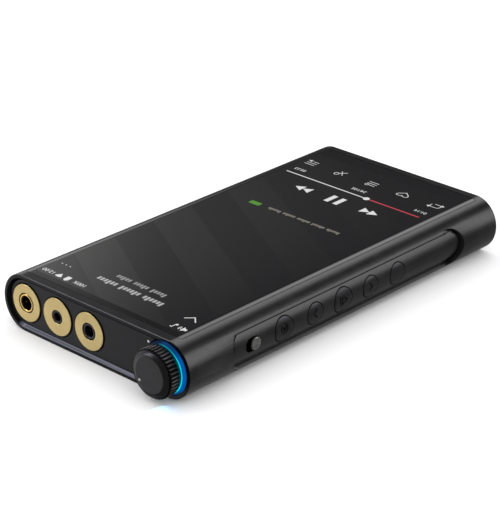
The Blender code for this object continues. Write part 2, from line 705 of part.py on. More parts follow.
def make_end_screw(i, x, plate, materials):
    """One countersunk well in the end plate, and the screw that sits in it."""
    front = USB_END - PLATE_RECESS
    back = front - PLATE_THICK
    floor = front - SCREW_WELL_DEPTH
    shank_hole = END_SCREW_SHANK + GAP
    well = [
        (0, back - REACH),
        (shank_hole, back - REACH),
        (shank_hole, floor),
        (SCREW_WELL_RADIUS, floor),
        (SCREW_WELL_RADIUS, front + REACH),
        (0, front + REACH),
    ]
    cut(plate, f"end_screw_well_{i}_tool", turned(well, (x, MID_Z), "Y", 20))
    head, top = floor + SEAM, front - SEAM
    screw = [
        (0, top - END_SCREW_LENGTH),
        (END_SCREW_SHANK, top - END_SCREW_LENGTH),
        (END_SCREW_SHANK, head),
        (END_SCREW_HEAD, head),
        (END_SCREW_HEAD, top),
        (0, top),
    ]
    add_object(f"end_screw_{i}", turned(screw, (x, MID_Z), "Y", 20), materials["steel"])


def make_card_tray(materials):
    front = USB_END - PLATE_RECESS
    lip = prism(tray_outline(), "Y", front - TRAY_LIP, front)
    tray = add_object("card_tray", lip, materials["anodised_black"])
    half_width, half_height = TRAY_TONGUE_HALF
    low = (TRAY_X - half_width, TRAY_END, MID_Z - half_height)
    high = (TRAY_X + half_width, front - TRAY_LIP + SEAM, MID_Z + half_height)
    add_on(tray, "tray_tongue_tool", box(low, high))
    near, far = CARD_BED_Y
    low = (TRAY_X - CARD_BED_HALF_WIDTH, near, MID_Z - SEAM)
    high = (TRAY_X + CARD_BED_HALF_WIDTH, far, MID_Z + REACH)
    cut(tray, "card_bed_tool", box(low, high))

    half_width, half_height = READER_HALF
    side, top, end = READER_WALL
    near, far = READER_Y
    low = (TRAY_X - half_width, near, MID_Z - half_height)
    high = (TRAY_X + half_width, far, MID_Z + half_height)
    socket = add_object("card_socket", box(low, high), materials["steel"])
    low = (TRAY_X - half_width + side, near + end, MID_Z - half_height + top)
    high = (TRAY_X + half_width - side, far + REACH, MID_Z + half_height - top)
    cut(socket, "card_throat_tool", box(low, high))


# ---- electronics ----
STANDOFFS = ((-30.5, -50.0), (27.5, -50.0), (-30.5, 57.0), (9.5, 57.0))
SHIELDS = (
    ("processor_shield", (-22.0, 12.0), (4.0, 40.0)),
    ("dac_shield", (-26.0, -42.0), (-3.0, -14.0)),
    ("amplifier_shield", (2.0, -42.0), (24.0, -12.0)),
)


def board_outline():
    """The main board, with the tab that carries the USB socket."""
    left, right = MAIN_BOARD_X
    near, far = MAIN_BOARD_Y
    half = USB_TAB_HALF_WIDTH
    tab = [(half, far), (half, USB_TAB_END), (-half, USB_TAB_END), (-half, far)]
    return [(left, near), (right, near), (right, far), *tab, (left, far)]


def make_electronics(materials):
    holes = [circle(point, SCREW_SHANK + GAP, 12) for point in STANDOFFS]
    board = prism(board_outline(), "Z", BOARD_BOTTOM, BOARD_TOP, holes)
    add_object("main_board", board, materials["circuit_board"])
    base = BOARD_TOP + GAP
    top = MID_FRAME_BOTTOM - GAP
    for name, low, high in SHIELDS:
        can = hollow(box((*low, base), (*high, top)), (0, 0, -1), SHIELD_WALL, top - base - SHIELD_WALL)
        add_object(name, can, materials["steel"])
    for i, point in enumerate(STANDOFFS, start=1):
        post = hollow(rod(point, STANDOFF_RADIUS, "Z", base, top, 16), (0, 0, -1), STANDOFF_WALL, STANDOFF_WALL)
        add_object(f"standoff_{i}", post, materials["brass"])
        add_object(f"board_screw_{i}", board_screw(point, base), materials["steel"])
    plate = prism(rounded_rectangle(FRAME_PLATE_LOW, FRAME_PLATE_HIGH, SMALL_RADIUS, 3), "Z",
                  MID_FRAME_BOTTOM, MID_FRAME_TOP)
    add_object("mid_frame", plate, materials["magnesium"])
    outline = rounded_rectangle(BATTERY_LOW[:2], BATTERY_HIGH[:2], SMALL_RADIUS, 3)
    cell = prism(outline, "Z", BATTERY_LOW[2], BATTERY_HIGH[2])
    add_object("battery", cell, materials["battery_wrap"])
    add_object("battery_board", box(BATTERY_BOARD_LOW, BATTERY_BOARD_HIGH), materials["circuit_board"])


def board_screw(point, base):
    """A pan head under the board, and a shank that reaches up into the standoff."""
    under = BOARD_BOTTOM - GAP
    radius, height = SCREW_HEAD
    profile = [
        (0, under - height),
        (radius, under - height),
        (radius, under),
        (SCREW_SHANK, under),
        (SCREW_SHANK, base + SCREW_ENGAGEMENT),
        (0, base + SCREW_ENGAGEMENT),
    ]
    return turned(profile, point, "Z", 16)


def build():
    for obj in list(bpy.data.objects):
        bpy.data.objects.remove(obj)
    materials = make_materials()
    make_housing(materials["anodised_black"])
    make_screen(materials)
    make_rear_cover(materials["rear_glass"])
    make_jack_end_plate(materials)
    make_jacks(materials)
    make_knob(materials)
    make_buttons(materials)
    make_hold_slider(materials)
    make_usb_end(materials)
    make_card_tray(materials)
    make_electronics(materials)


build()
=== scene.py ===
"""Looks of the pocket digital audio player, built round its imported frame.

Lengths are millimetres in the frame's axes: +X button side, -Y jack end, +Z screen.
mesh_object() turns a finished shape into metres. Places come from the frame's own boxes.
"""

import math

import bmesh
import bpy
from mathutils import Matrix, Vector


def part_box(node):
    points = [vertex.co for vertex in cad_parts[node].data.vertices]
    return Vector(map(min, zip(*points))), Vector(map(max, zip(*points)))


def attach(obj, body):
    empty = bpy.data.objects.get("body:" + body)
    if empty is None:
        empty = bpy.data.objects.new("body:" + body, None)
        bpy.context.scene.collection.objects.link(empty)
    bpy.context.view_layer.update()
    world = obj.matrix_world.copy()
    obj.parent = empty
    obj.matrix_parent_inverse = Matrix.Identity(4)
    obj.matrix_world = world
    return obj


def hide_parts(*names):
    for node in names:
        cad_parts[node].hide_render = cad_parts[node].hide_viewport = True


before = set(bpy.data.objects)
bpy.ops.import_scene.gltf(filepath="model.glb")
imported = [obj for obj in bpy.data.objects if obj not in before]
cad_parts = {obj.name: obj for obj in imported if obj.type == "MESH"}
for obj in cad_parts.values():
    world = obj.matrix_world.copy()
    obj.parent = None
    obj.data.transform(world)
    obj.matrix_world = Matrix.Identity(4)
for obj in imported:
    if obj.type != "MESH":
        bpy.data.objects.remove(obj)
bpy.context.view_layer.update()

MM = 0.001
ROUND = 96                  # steps round a turned piece
MERGE = 1e-7                # metres within which points count as one


# ---- sizes read from the frame ----
def node_box(name):
    low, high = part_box(name)
    return low / MM, high / MM


def centre(name):
    low, high = node_box(name)
    return (low + high) / 2


BODY_LOW, BODY_HIGH = node_box("main_housing")
JACK_END, USB_END = BODY_LOW.y, BODY_HIGH.y
THICK = BODY_HIGH.z - BODY_LOW.z
MID_Z = THICK / 2
HALF_WIDTH = BODY_HIGH.x
SIDE_DEPTH = 8.9            # how far the rounded side reaches outboard of the flat faces
FLAT_HALF = HALF_WIDTH - SIDE_DEPTH
SEAM = 0.15                 # visible joint line between trim pieces

# housing
CAVITY_HALF_WIDTH = 36.2
CAVITY_FLOOR = 1.8
CAVITY_CEILING = 17.1
CAVITY_RADIUS = 5.0
REACH = 1.0                 # how far a cutter runs past the faces that it opens
EDGE_ROUND = 0.3            # edge break round both ends
RIM_WIDTH = 1.2
RIM_CHAMFER = 0.8
PLATE_INSET = RIM_WIDTH + RIM_CHAMFER
PLATE_RECESS = 1.0
MOUTH_DEPTH = 2.7
WINDOW_BOTTOM = 15.65
FLAT_SLANT = 0.98           # least share of a normal along Y on the rim's flat face
TOP_SLANT = 0.9947          # least share along Z on the flat top
CHAMFER_SLANT = 0.2         # and on its chamfers
LEDGE_SLANT = 0.35          # least share along Z on the pocket's lower ledge, which gets painted light
# body and chamfer are finishes; rim is painted shade and ledge is painted light
HOUSING_FINISHES_AND_PAINTED_TONES = ("body", "chamfer", "rim", "ledge")
GLASS_LOW, GLASS_HIGH = node_box("front_glass")
GLASS_RADIUS = 1.05
GLASS_DROP = 0.04           # how far the glass lies under the housing's top face
COVER_LOW, COVER_HIGH = node_box("rear_cover")
COVER_RADIUS = 4.85
COVER_LEDGE = 2.0
COVER_SEAT_TOP = 1.0
COVER_WELL_TOP = 3.0

# side pocket
POCKET_NEAR = -54.4
POCKET_FAR = 55.3
POCKET_HALF_HEIGHT = 6.65
POCKET_NEAR_RADIUS = 4.8
POCKET_FAR_RADIUS = 6.4
POCKET_DEPTH = 1.6
POCKET_FLOOR_RADIUS = 9.5
GROOVE_WIDTH = 0.42         # of the line in its floor, along the upper edge and the near end
GROOVE_HEIGHT = 5.0         # how far above the pocket's middle the line runs
GROOVE_INSET = 1.6          # and how far in from the near end
GROOVE_TURN = 3.4           # radius of its corner
POCKET_STEPS = 300          # steps round the floor's whole circle
BUTTONS = ("power", "previous", "play", "next", "function")
BUTTON_FLANGE = 0.4
BUTTON_FLANGE_X = (35.0, 35.5)
BUTTON_GAP = 0.18
BUTTON_SLACK = 0.1          # how much smaller the seen caps are
BUTTON_PROUD = 0.08
ENGRAVING = 0.4
SLOT_CENTRE_Y = -44.5
SLOT_LENGTH = 6.4
SLOT_HEIGHT = 4.7

# knob and its light ring
KNOB_LOW, KNOB_HIGH = node_box("volume_knob")
KNOB_AXIS = (centre("volume_knob").x, centre("volume_knob").z)
KNOB_RADIUS = (KNOB_HIGH.z - KNOB_LOW.z) / 2
KNOB_RIDGES = 40
KNOB_GROOVE = 0.5
GROOVE_SHADE = 0.45         # share of the groove's depth below which its faces get painted shade
RING_LOW, RING_HIGH = node_box("light_ring")
RING_RADIUS = (RING_HIGH.z - RING_LOW.z) / 2
RING_SEAT = RING_RADIUS + 0.22
RING_SEAT_DEPTH = 1.5
RING_SLACK = 0.13           # how much smaller the seen ring is
RING_BORE = 6.4
RING_FACE = 7.72            # reach of its flat front face
RING_DARK_TO = 7.42         # radii between which the light changes
RING_CYAN_FROM = 7.6
RING_CYAN_TO = 7.74
RING_BLUE_FROM = 7.9


# ---- outlines: lists of 2D points ----
def arc(middle, radii, start, end, steps):
    """Points of an ellipse arc, angles in degrees, both ends included."""
    points = []
    for i in range(steps + 1):
        angle = math.radians(start + (end - start) * i / steps)
        points.append((middle[0] + radii[0] * math.cos(angle), middle[1] + radii[1] * math.sin(angle)))
    return points


def circle(middle, radius, steps=ROUND):
    return arc(middle, (radius, radius), 0, 360, steps)[:-1]


def rounded_rectangle(low, high, radius, steps=10):
    (x0, y0), (x1, y1) = low, high
    r = (radius, radius)
    corners = (
        arc((x1 - radius, y0 + radius), r, -90, 0, steps),
        arc((x1 - radius, y1 - radius), r, 0, 90, steps),
        arc((x0 + radius, y1 - radius), r, 90, 180, steps),
        arc((x0 + radius, y0 + radius), r, 180, 270, steps),
    )
    return [point for corner in corners for point in corner]


def rectangle(low, high):
    return [(low[0], low[1]), (high[0], low[1]), (high[0], high[1]), (low[0], high[1])]


def body_section(inset=0.0, steps=ROUND):
    """The player's obround section in X and Z, moved inwards by inset."""
    radii = (SIDE_DEPTH - inset, MID_Z - inset)
    right = arc((FLAT_HALF, MID_Z), radii, -90, 90, steps)
    left = arc((-FLAT_HALF, MID_Z), radii, 90, 270, steps)
    return right + left


def obround(middle, length, height, steps=24):
    radius = height / 2
    half = length / 2 - radius
    right = arc((middle[0] + half, middle[1]), (radius, radius), -90, 90, steps)
    left = arc((middle[0] - half, middle[1]), (radius, radius), 90, 270, steps)
    return right + left


def stroke(points, width, closed=False):
    """The outline of a line of a given width drawn along points, with mitred corners.

    Returns (outline, holes) as prism() takes them."""
    count = len(points)
    sides = ([], [])
    for i, point in enumerate(points):
        before = points[i - 1] if closed or i > 0 else None
        after = points[(i + 1) % count] if closed or i < count - 1 else None
        normals = []
        for a, b in ((before, point), (point, after)):
            if a and b:
                step = Vector((b[0] - a[0], b[1] - a[1])).normalized()
                normals.append(Vector((-step.y, step.x)))
        mitre = sum(normals, Vector((0, 0))).normalized()
        reach = width / 2 / max(mitre.dot(normals[0]), 0.35)
        for side, sign in zip(sides, (1, -1)):
            side.append((point[0] + sign * reach * mitre.x, point[1] + sign * reach * mitre.y))
    if closed:
        return sides[0], (sides[1],)
    return sides[0] + sides[1][::-1], ()


# ---- solids, drawn in millimetres ----
def place(point, along, axis):
    """A 2D point and a distance along an axis, as a 3D point."""
    u, v = point
    return {"X": (along, u, v), "Y": (u, along, v), "Z": (u, v, along)}[axis]


def prism(outline, axis, low, high, holes=(), bm=None):
    """An outline, with any holes in it, extruded along an axis. It may join an unfinished shape."""
    bm = bm or bmesh.new()
    edges = []
    for loop in (outline, *holes):
        verts = [bm.verts.new(place(point, low, axis)) for point in loop]
        edges += [bm.edges.new((verts[i - 1], verts[i])) for i in range(len(verts))]
    if holes:
        made = bmesh.ops.triangle_fill(bm, use_beauty=True, use_dissolve=False, edges=edges)["geom"]
    else:
        made = bmesh.ops.contextual_create(bm, geom=edges)["faces"]
    faces = [item for item in made if isinstance(item, bmesh.types.BMFace)]
    grown = bmesh.ops.extrude_face_region(bm, geom=faces)
    moved = [item for item in grown["geom"] if isinstance(item, bmesh.types.BMVert)]
    bmesh.ops.translate(bm, vec=place((0, 0), high - low, axis), verts=moved)
    bmesh.ops.recalc_face_normals(bm, faces=bm.faces)
    return bm


def box(low, high, bm=None):
    return prism(rectangle(low[:2], high[:2]), "Z", low[2], high[2], bm=bm)


def loft(rings):
    """Rings of 3D points with equal counts, joined in order and capped."""
    bm = bmesh.new()
    loops = [[bm.verts.new(point) for point in ring] for ring in rings]
    for first, second in zip(loops, loops[1:]):
        for i in range(len(first)):
            bm.faces.new((first[i - 1], first[i], second[i], second[i - 1]))
    for end in (loops[0], loops[-1]):
        bm.faces.new(end)
    bmesh.ops.recalc_face_normals(bm, faces=bm.faces)
    return bm


def turned(profile, middle, axis, steps=ROUND, bm=None):
    """A closed profile of (radius, distance along the axis) points, turned about the axis."""
    bm = bm or bmesh.new()
    verts = [bm.verts.new(place((middle[0] + radius, middle[1]), along, axis)) for radius, along in profile]
    edges = [bm.edges.new((verts[i - 1], verts[i])) for i in range(len(verts))]
    bmesh.ops.spin(
        bm,
        geom=verts + edges,
        cent=place(middle, 0, axis),
        axis=place((0, 0), 1, axis),
        angle=math.tau,
        steps=steps,
        use_merge=True,
    )
    bmesh.ops.remove_doubles(bm, verts=bm.verts, dist=0.0001)
    bmesh.ops.recalc_face_normals(bm, faces=bm.faces)
    return bm


def rod(middle, radius, axis, low, high, steps=ROUND):
    return prism(circle(middle, radius, steps), axis, low, high)


# ---- objects ----
def shade(mesh, angle=28):
    mesh.shade_smooth()
    mesh.set_sharp_from_angle(angle=math.radians(angle))


def mesh_object(name, bm, *materials):
    """A bmesh in millimetres becomes an object in metres."""
    bmesh.ops.scale(bm, vec=(MM, MM, MM), verts=bm.verts)
    mesh = bpy.data.meshes.new(name)
    bm.to_mesh(mesh)
    bm.free()
    shade(mesh)
    obj = bpy.data.objects.new(name, mesh)
    bpy.context.scene.collection.objects.link(obj)
    for material in materials:
        mesh.materials.append(material)
    return obj


def combine(target, operation, shape):
    """Cuts, joins or trims a piece with a shape in millimetres, or with an object."""
    modifier = target.modifiers.new("shape", "BOOLEAN")
    modifier.operation = operation
    modifier.solver = "EXACT"
    modifier.object = shape if isinstance(shape, bpy.types.Object) else mesh_object("tool", shape)
    return target


def cut(target, shape):
    return combine(target, "DIFFERENCE", shape)


def soften(target, width, segments=2, angle=40):
    """Rounds the sharp edges of a piece."""
    modifier = target.modifiers.new("edge", "BEVEL")
    modifier.width = width * MM
    modifier.segments = segments
    modifier.limit_method = "ANGLE"
    modifier.angle_limit = math.radians(angle)
    modifier.use_clamp_overlap = False
    return target


def bake(target):
    """Makes a piece's modifiers its final mesh and removes the shapes that cut it."""
    tools = [modifier.object for modifier in target.modifiers if modifier.type == "BOOLEAN"]
    graph = bpy.context.evaluated_depsgraph_get()
    mesh = bpy.data.meshes.new_from_object(target.evaluated_get(graph))
    target.modifiers.clear()
    target.data = mesh
    for tool in tools:
        bpy.data.objects.remove(tool)
    bm = bmesh.new()
    bm.from_mesh(mesh)
    bmesh.ops.dissolve_degenerate(bm, edges=bm.edges, dist=MERGE)
    bm.to_mesh(mesh)
    bm.free()
    shade(mesh)
    return target


def settle(target):
    """Bakes a piece and evens out the shading of its rounded edges."""
    weigh = bake(target).modifiers.new("normals", "WEIGHTED_NORMAL")
    weigh.keep_sharp = True
    return target


def piece(obj, body, slot, *nodes):
    """Puts a finished piece on its CAD body, and hides the CAD parts that it stands for."""
    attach(obj, body)
    if nodes:
        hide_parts(*nodes)
    return obj


# ---- materials ----
def node(tree, kind, inputs=None, **settings):
    """A shader node with its settings and its inputs, which are values or other nodes' outputs."""
    made = tree.nodes.new("ShaderNode" + kind)
    for key, value in settings.items():
        setattr(made, key, value)
    for socket, value in (inputs or {}).items():
        if isinstance(value, bpy.types.NodeSocket):
            tree.links.new(value, made.inputs[socket])
        else:
            made.inputs[socket].default_value = value
    return made


def maths(tree, operation, first, second=0.0, third=0.0):
    return node(tree, "Math", {0: first, 1: second, 2: third}, operation=operation).outputs[0]


def remap(tree, value, old, new, smooth=False):
    """A value taken from one range to another and kept inside it."""
    kind = "SMOOTHSTEP" if smooth else "LINEAR"
    inputs = {"Value": value, "From Min": old[0], "From Max": old[1], "To Min": new[0], "To Max": new[1]}
    return node(tree, "MapRange", inputs, interpolation_type=kind).outputs["Result"]


def blend_colours(tree, factor, first, second):
    inputs = {"Factor": factor, 6: (*first, 1.0), 7: (*second, 1.0)}
    return node(tree, "Mix", inputs, data_type="RGBA").outputs[2]


def noise(tree, vector, size, detail=2.0, roughness=0.5):
    """Noise whose features are about size millimetres across."""
    inputs = {"Vector": vector, "Scale": 1 / (size * MM), "Detail": detail, "Roughness": roughness}
    return node(tree, "TexNoise", inputs).outputs["Fac"]


def start_material(name, roughness, metallic=0.0, **sockets):
    material = bpy.data.materials.new(name)
    material.use_nodes = True
    tree = material.node_tree
    shader = tree.nodes["Principled BSDF"]
    shader.inputs["Roughness"].default_value = roughness
    shader.inputs["Metallic"].default_value = metallic
    for socket, value in sockets.items():
        shader.inputs[socket.replace("_", " ")].default_value = value
    return material, tree, shader


def connect(tree, shader, **links):
    for socket, output in links.items():
        tree.links.new(output, shader.inputs[socket.replace("_", " ")])


def bump(tree, height, depth, strength=1.0, normal=None):
    """A surface normal from a height, where depth is the height's full range in millimetres."""
    inputs = {"Height": height, "Distance": depth * MM, "Strength": strength}
    if normal:
        inputs["Normal"] = normal
    return node(tree, "Bump", inputs).outputs["Normal"]


def object_coordinates(tree):
    return node(tree, "TexCoord").outputs["Object"]


def grained(name, colours, roughness, metallic, grain, depth, **sockets):
    """A surface with fine grain, and with colour and gloss that drift a little over its patches."""
    middle = sum(roughness) / 2
    material, tree, shader = start_material(name, middle, metallic, **sockets)
    spot = object_coordinates(tree)
    drift = noise(tree, spot, 6.0, 3.0)
    fine = noise(tree, spot, grain, 2.0, 0.6)
    tone = maths(tree, "MULTIPLY_ADD", fine, 0.5, maths(tree, "MULTIPLY", drift, 0.5))
    connect(
        tree,
        shader,
        Base_Color=blend_colours(tree, remap(tree, tone, (0.35, 0.65), (0, 1)), *colours),
        Roughness=remap(tree, drift, (0.3, 0.7), roughness),
        Normal=bump(tree, fine, depth),
    )
    return material


def spun(name, colours, roughness, axis, groove, depth, anisotropy, **sockets):
    """Lathe-turned metal: fine rings about the piece's own middle, along the given axis."""
    material, tree, shader = start_material(name, roughness, 1.0, Anisotropic=anisotropy, **sockets)
    middle = node(tree, "TexCoord").outputs["Generated"]
    split = node(tree, "SeparateXYZ", {"Vector": middle}).outputs
    across = [split[i] for i, letter in enumerate("XYZ") if letter != axis]
    offsets = [maths(tree, "SUBTRACT", value, 0.5) for value in across]
    square = maths(tree, "MULTIPLY", offsets[1], offsets[1])
    radius = maths(tree, "SQRT", maths(tree, "MULTIPLY_ADD", offsets[0], offsets[0], square))
    rings = maths(tree, "SINE", maths(tree, "MULTIPLY", radius, math.tau / groove))
    drift = noise(tree, object_coordinates(tree), 1.5, 3.0)
    wobble = node(tree, "TexNoise", {"W": maths(tree, "MULTIPLY", radius, 3 / groove), "Scale": 1.0},
                  noise_dimensions="1D").outputs["Fac"]
    height = maths(tree, "MULTIPLY_ADD", wobble, 1.4, rings)
    tone = maths(tree, "MULTIPLY_ADD", wobble, 0.7, maths(tree, "MULTIPLY", drift, 0.3))
    tangent = node(tree, "Tangent", direction_type="RADIAL", axis=axis).outputs["Tangent"]
    connect(
        tree,
        shader,
        Base_Color=blend_colours(tree, remap(tree, tone, (0.3, 0.7), (0, 1)), *colours),
        Normal=bump(tree, height, depth),
        Tangent=tangent,
    )
    return material


def glass(name, colour, roughness):
    material, tree, shader = start_material(name, sum(roughness) / 2, IOR=1.5)
    spot = object_coordinates(tree)
    haze = noise(tree, spot, 14.0, 3.0)
    connect(
        tree,
        shader,
        Base_Color=blend_colours(tree, haze, [0.7 * part for part in colour], colour),
        Roughness=remap(tree, haze, (0.3, 0.7), roughness),
    )
    return material


def lit_line(name, colour, level):
    """Marks that glow, with the slight unevenness of a display's fine grid."""
    material, tree, shader = start_material(name, 0.05, IOR=1.5, Emission_Strength=level)
    shader.inputs["Base Color"].default_value = (0.01, 0.01, 0.01, 1.0)
    inputs = {"Vector": object_coordinates(tree), "Scale": 1 / (DISPLAY_GRID * MM)}
    grid = node(tree, "TexChecker", inputs).outputs["Fac"]
    dim = [0.93 * part for part in colour]
    connect(tree, shader, Emission_Color=blend_colours(tree, grid, colour, dim))
    return material


DISPLAY_GRID = 0.06         # size of the display's grid
BAND_PITCH = 30.0           # distance between the screen picture's slanted bands
BAND_TILT = 60              # degrees from the screen's short side
BAND_EDGE = 0.02            # softness of their edges, as a share of a sine wave
PICTURE_TONE = 0.034        # glow of its plain ground
BAND_TONE = 0.016           # glow that a band adds


def picture_material():
    """The lit picture behind the marks: plain slanted bands that fade along and across the screen."""
    material, tree, shader = start_material("picture_glow", 0.045, IOR=1.5, Emission_Strength=1.0)
    shader.inputs["Base Color"].default_value = (0.004, 0.004, 0.005, 1.0)
    split = node(tree, "SeparateXYZ", {"Vector": object_coordinates(tree)}).outputs
    x, y = split["X"], split["Y"]
    tilt = math.radians(BAND_TILT)
    turn = math.tau / (BAND_PITCH * MM)
    slant = maths(
        tree,
        "MULTIPLY_ADD",
        x,
        math.cos(tilt) * turn,
        maths(tree, "MULTIPLY", y, math.sin(tilt) * turn),
    )
    bands = remap(tree, maths(tree, "SINE", slant), (-BAND_EDGE, BAND_EDGE), (0, 1), smooth=True)
    along = remap(tree, y, (JACK_END * MM, USB_END * MM), (1.0, 0.0))
    across = remap(tree, x, (-FLAT_HALF * MM, FLAT_HALF * MM), (1.0, 0.1))
    fade = maths(tree, "MULTIPLY", along, across)
    level = maths(tree, "MULTIPLY", fade, maths(tree, "MULTIPLY_ADD", bands, BAND_TONE, PICTURE_TONE))
    tint = blend_colours(tree, bands, (1.0, 1.0, 1.0), (1.0, 0.97, 0.92))
    glow = node(tree, "VectorMath", {0: tint, 3: level}, operation="SCALE").outputs["Vector"]
    connect(tree, shader, Emission_Color=glow)
    return material


def ring_material():
    """The lit light guide: cyan on its front edge, deep blue down its cone, weaker at top and bottom."""
    material, tree, shader = start_material("lit_ring", 0.5, IOR=1.49, Emission_Strength=1.0,
                                            Specular_IOR_Level=0.06)
    shader.inputs["Base Color"].default_value = (0.001, 0.008, 0.025, 1.0)
    shift = (-KNOB_AXIS[0] * MM, 0, -KNOB_AXIS[1] * MM)
    place_on_ring = {0: object_coordinates(tree), 1: shift}
    spot = node(tree, "VectorMath", place_on_ring, operation="ADD").outputs["Vector"]
    split = node(tree, "SeparateXYZ", {"Vector": spot}).outputs
    flat = node(tree, "CombineXYZ", {"X": split["X"], "Z": split["Z"]}).outputs["Vector"]
    radius = node(tree, "VectorMath", {0: flat}, operation="LENGTH").outputs["Value"]
    cone = remap(tree, radius, (RING_CYAN_TO * MM, RING_BLUE_FROM * MM), (0, 1), smooth=True)
    colour = blend_colours(tree, cone, (0.0, 0.82, 0.98), (0.0, 0.085, 0.34))
    core = remap(tree, radius, (RING_DARK_TO * MM, RING_CYAN_FROM * MM), (0.06, 1), smooth=True)
    lit_side = remap(tree, split["X"], (-2.4 * MM, 0.8 * MM), (0.02, 1), smooth=True)
    height = maths(tree, "ABSOLUTE", maths(tree, "DIVIDE", split["Z"], radius))
    weaker = remap(tree, height, (0.55, 1.0), (1.0, 0.35), smooth=True)
    patchy = remap(tree, noise(tree, spot, 2.5, 2.0), (0.3, 0.7), (0.9, 1.05))
    level = maths(tree, "MULTIPLY", maths(tree, "MULTIPLY", weaker, patchy), core)
    level = maths(tree, "MULTIPLY", level, lit_side)
    glow = node(tree, "VectorMath", {0: colour, 3: level}, operation="SCALE").outputs["Vector"]
    connect(tree, shader, Emission_Color=glow)
    return material


TRACK_PITCH = 3.0


def board_material():
    """Green solder mask with a faint maze of copper tracks under it."""
    material, tree, shader = start_material("board_green", 0.4, Coat_Weight=0.3)
    inputs = {"Vector": object_coordinates(tree), "Scale": 1 / (TRACK_PITCH * MM), "Mortar Size": 0.03}
    tracks = node(tree, "TexBrick", inputs).outputs["Fac"]
    connect(
        tree,
        shader,
        Base_Color=blend_colours(tree, tracks, (0.01, 0.07, 0.035), (0.03, 0.16, 0.08)),
        Normal=bump(tree, tracks, 0.03),
    )
    return material


# rim and groove are painted shade, ledge is painted light; the rest are finishes
# name, darker and lighter colour, range of roughness, metallic, grain's size and depth
FINISHES_AND_PAINTED_TONES = {
    "body": (
        "blasted_black_aluminium", (0.058, 0.058, 0.0585), (0.078, 0.078, 0.0785), (0.27, 0.33),
        0.95, 0.4, 0.026,
    ),
    "chamfer": (
        "cut_black_chamfer", (0.03, 0.03, 0.035), (0.036, 0.036, 0.041), (0.13, 0.17), 1.0, 0.12, 0.001,
    ),
    # the ends' flat rim and the top strip beyond the glass: a darker copy of the body finish, painted shade
    # where these faces fall darker under the lights
    "rim": ("dark_flat_rim", (0.014, 0.014, 0.016), (0.022, 0.022, 0.024), (0.3, 0.36), 0.95, 0.2, 0.003),
    # the pocket's lower ledge: a lighter, less metallic copy of the body finish, painted light where it
    # faces up into the light
    "ledge": ("lit_pocket_ledge", (0.14, 0.14, 0.142), (0.18, 0.18, 0.182), (0.35, 0.45), 0.3, 0.3, 0.01),
    # the knob's groove floors: a darker copy of the knob finish, painted shade in the creases
    "groove": (
        "dark_knob_groove", (0.008, 0.008, 0.009), (0.014, 0.014, 0.015), (0.4, 0.5), 0.9, 0.18, 0.003,
    ),
    "knob": (
        "blasted_black_knob", (0.06, 0.06, 0.062), (0.078, 0.078, 0.081), (0.26, 0.32), 0.95, 0.18, 0.005,
    ),
    "knob_cap": (
        "satin_black_cap", (0.036, 0.036, 0.038), (0.046, 0.046, 0.049), (0.26, 0.32), 0.9, 0.12, 0.003,
    ),
    "button": (
        "blasted_black_button", (0.05, 0.05, 0.053), (0.068, 0.068, 0.072), (0.31, 0.37), 0.95, 0.22, 0.006,
    ),
    "panel": (
        "satin_end_panel", (0.003, 0.003, 0.0045), (0.005, 0.005, 0.007), (0.3, 0.36), 0.0, 0.15, 0.002,
    ),
    "sleeve_gold": (
        "plated_contact_gold", (0.6, 0.4, 0.12), (0.75, 0.53, 0.2), (0.12, 0.18), 1.0, 0.3, 0.002,
    ),
    "rear": (
        "rear_glass_black", (0.008, 0.008, 0.009), (0.012, 0.012, 0.013), (0.12, 0.18), 0.0, 0.4, 0.001,
    ),
    "jack": (
        "jack_mouth_black", (0.002, 0.002, 0.004), (0.004, 0.004, 0.007), (0.16, 0.22), 0.0, 0.3, 0.002,
    ),
    "plastic": (
        "moulded_black_plastic", (0.008, 0.008, 0.01), (0.014, 0.014, 0.016), (0.28, 0.4), 0.0, 0.3, 0.004,
    ),
    "steel": ("rolled_steel", (0.36, 0.36, 0.37), (0.5, 0.5, 0.5), (0.28, 0.42), 1.0, 0.5, 0.003),
    "brass": ("turned_brass", (0.5, 0.36, 0.14), (0.62, 0.46, 0.2), (0.25, 0.4), 1.0, 0.3, 0.003),
    "magnesium": ("cast_magnesium", (0.17, 0.17, 0.18), (0.23, 0.23, 0.24), (0.45, 0.6), 1.0, 0.6, 0.02),
    "wrap": ("battery_wrap", (0.035, 0.035, 0.04), (0.06, 0.06, 0.065), (0.35, 0.5), 0.0, 1.2, 0.01),
    "display": ("display_stack", (0.006, 0.006, 0.008), (0.01, 0.01, 0.012), (0.15, 0.25), 0.0, 0.2, 0.001),
    "dot": ("pale_dot", (0.3, 0.3, 0.3), (0.4, 0.4, 0.4), (0.4, 0.5), 0.0, 0.1, 0.002),
}
SPECULAR = {"panel": 0.22, "jack": 0.35}
# name, colour and level of what glows evenly
GLOWS = {
    "led": ("led_lens_white", (0.62, 0.62, 0.58), 0.8),
    "white": ("marks_white", (0.86, 0.86, 0.86), 0.85),
    "title": ("marks_title", (0.7, 0.7, 0.7), 0.6),
    "grey": ("marks_grey", (0.36, 0.36, 0.36), 0.8),
    "pale": ("marks_pale", (0.36, 0.34, 0.28), 0.6),
    "green": ("marks_green", (0.1, 0.33, 0.03), 0.8),
    "red": ("marks_red", (0.75, 0.06, 0.09), 0.9),
}
SPUN_GOLD = ((0.62, 0.47, 0.2), (0.76, 0.6, 0.28))
SPUN_STEEL = ((0.3, 0.295, 0.285), (0.48, 0.47, 0.455))


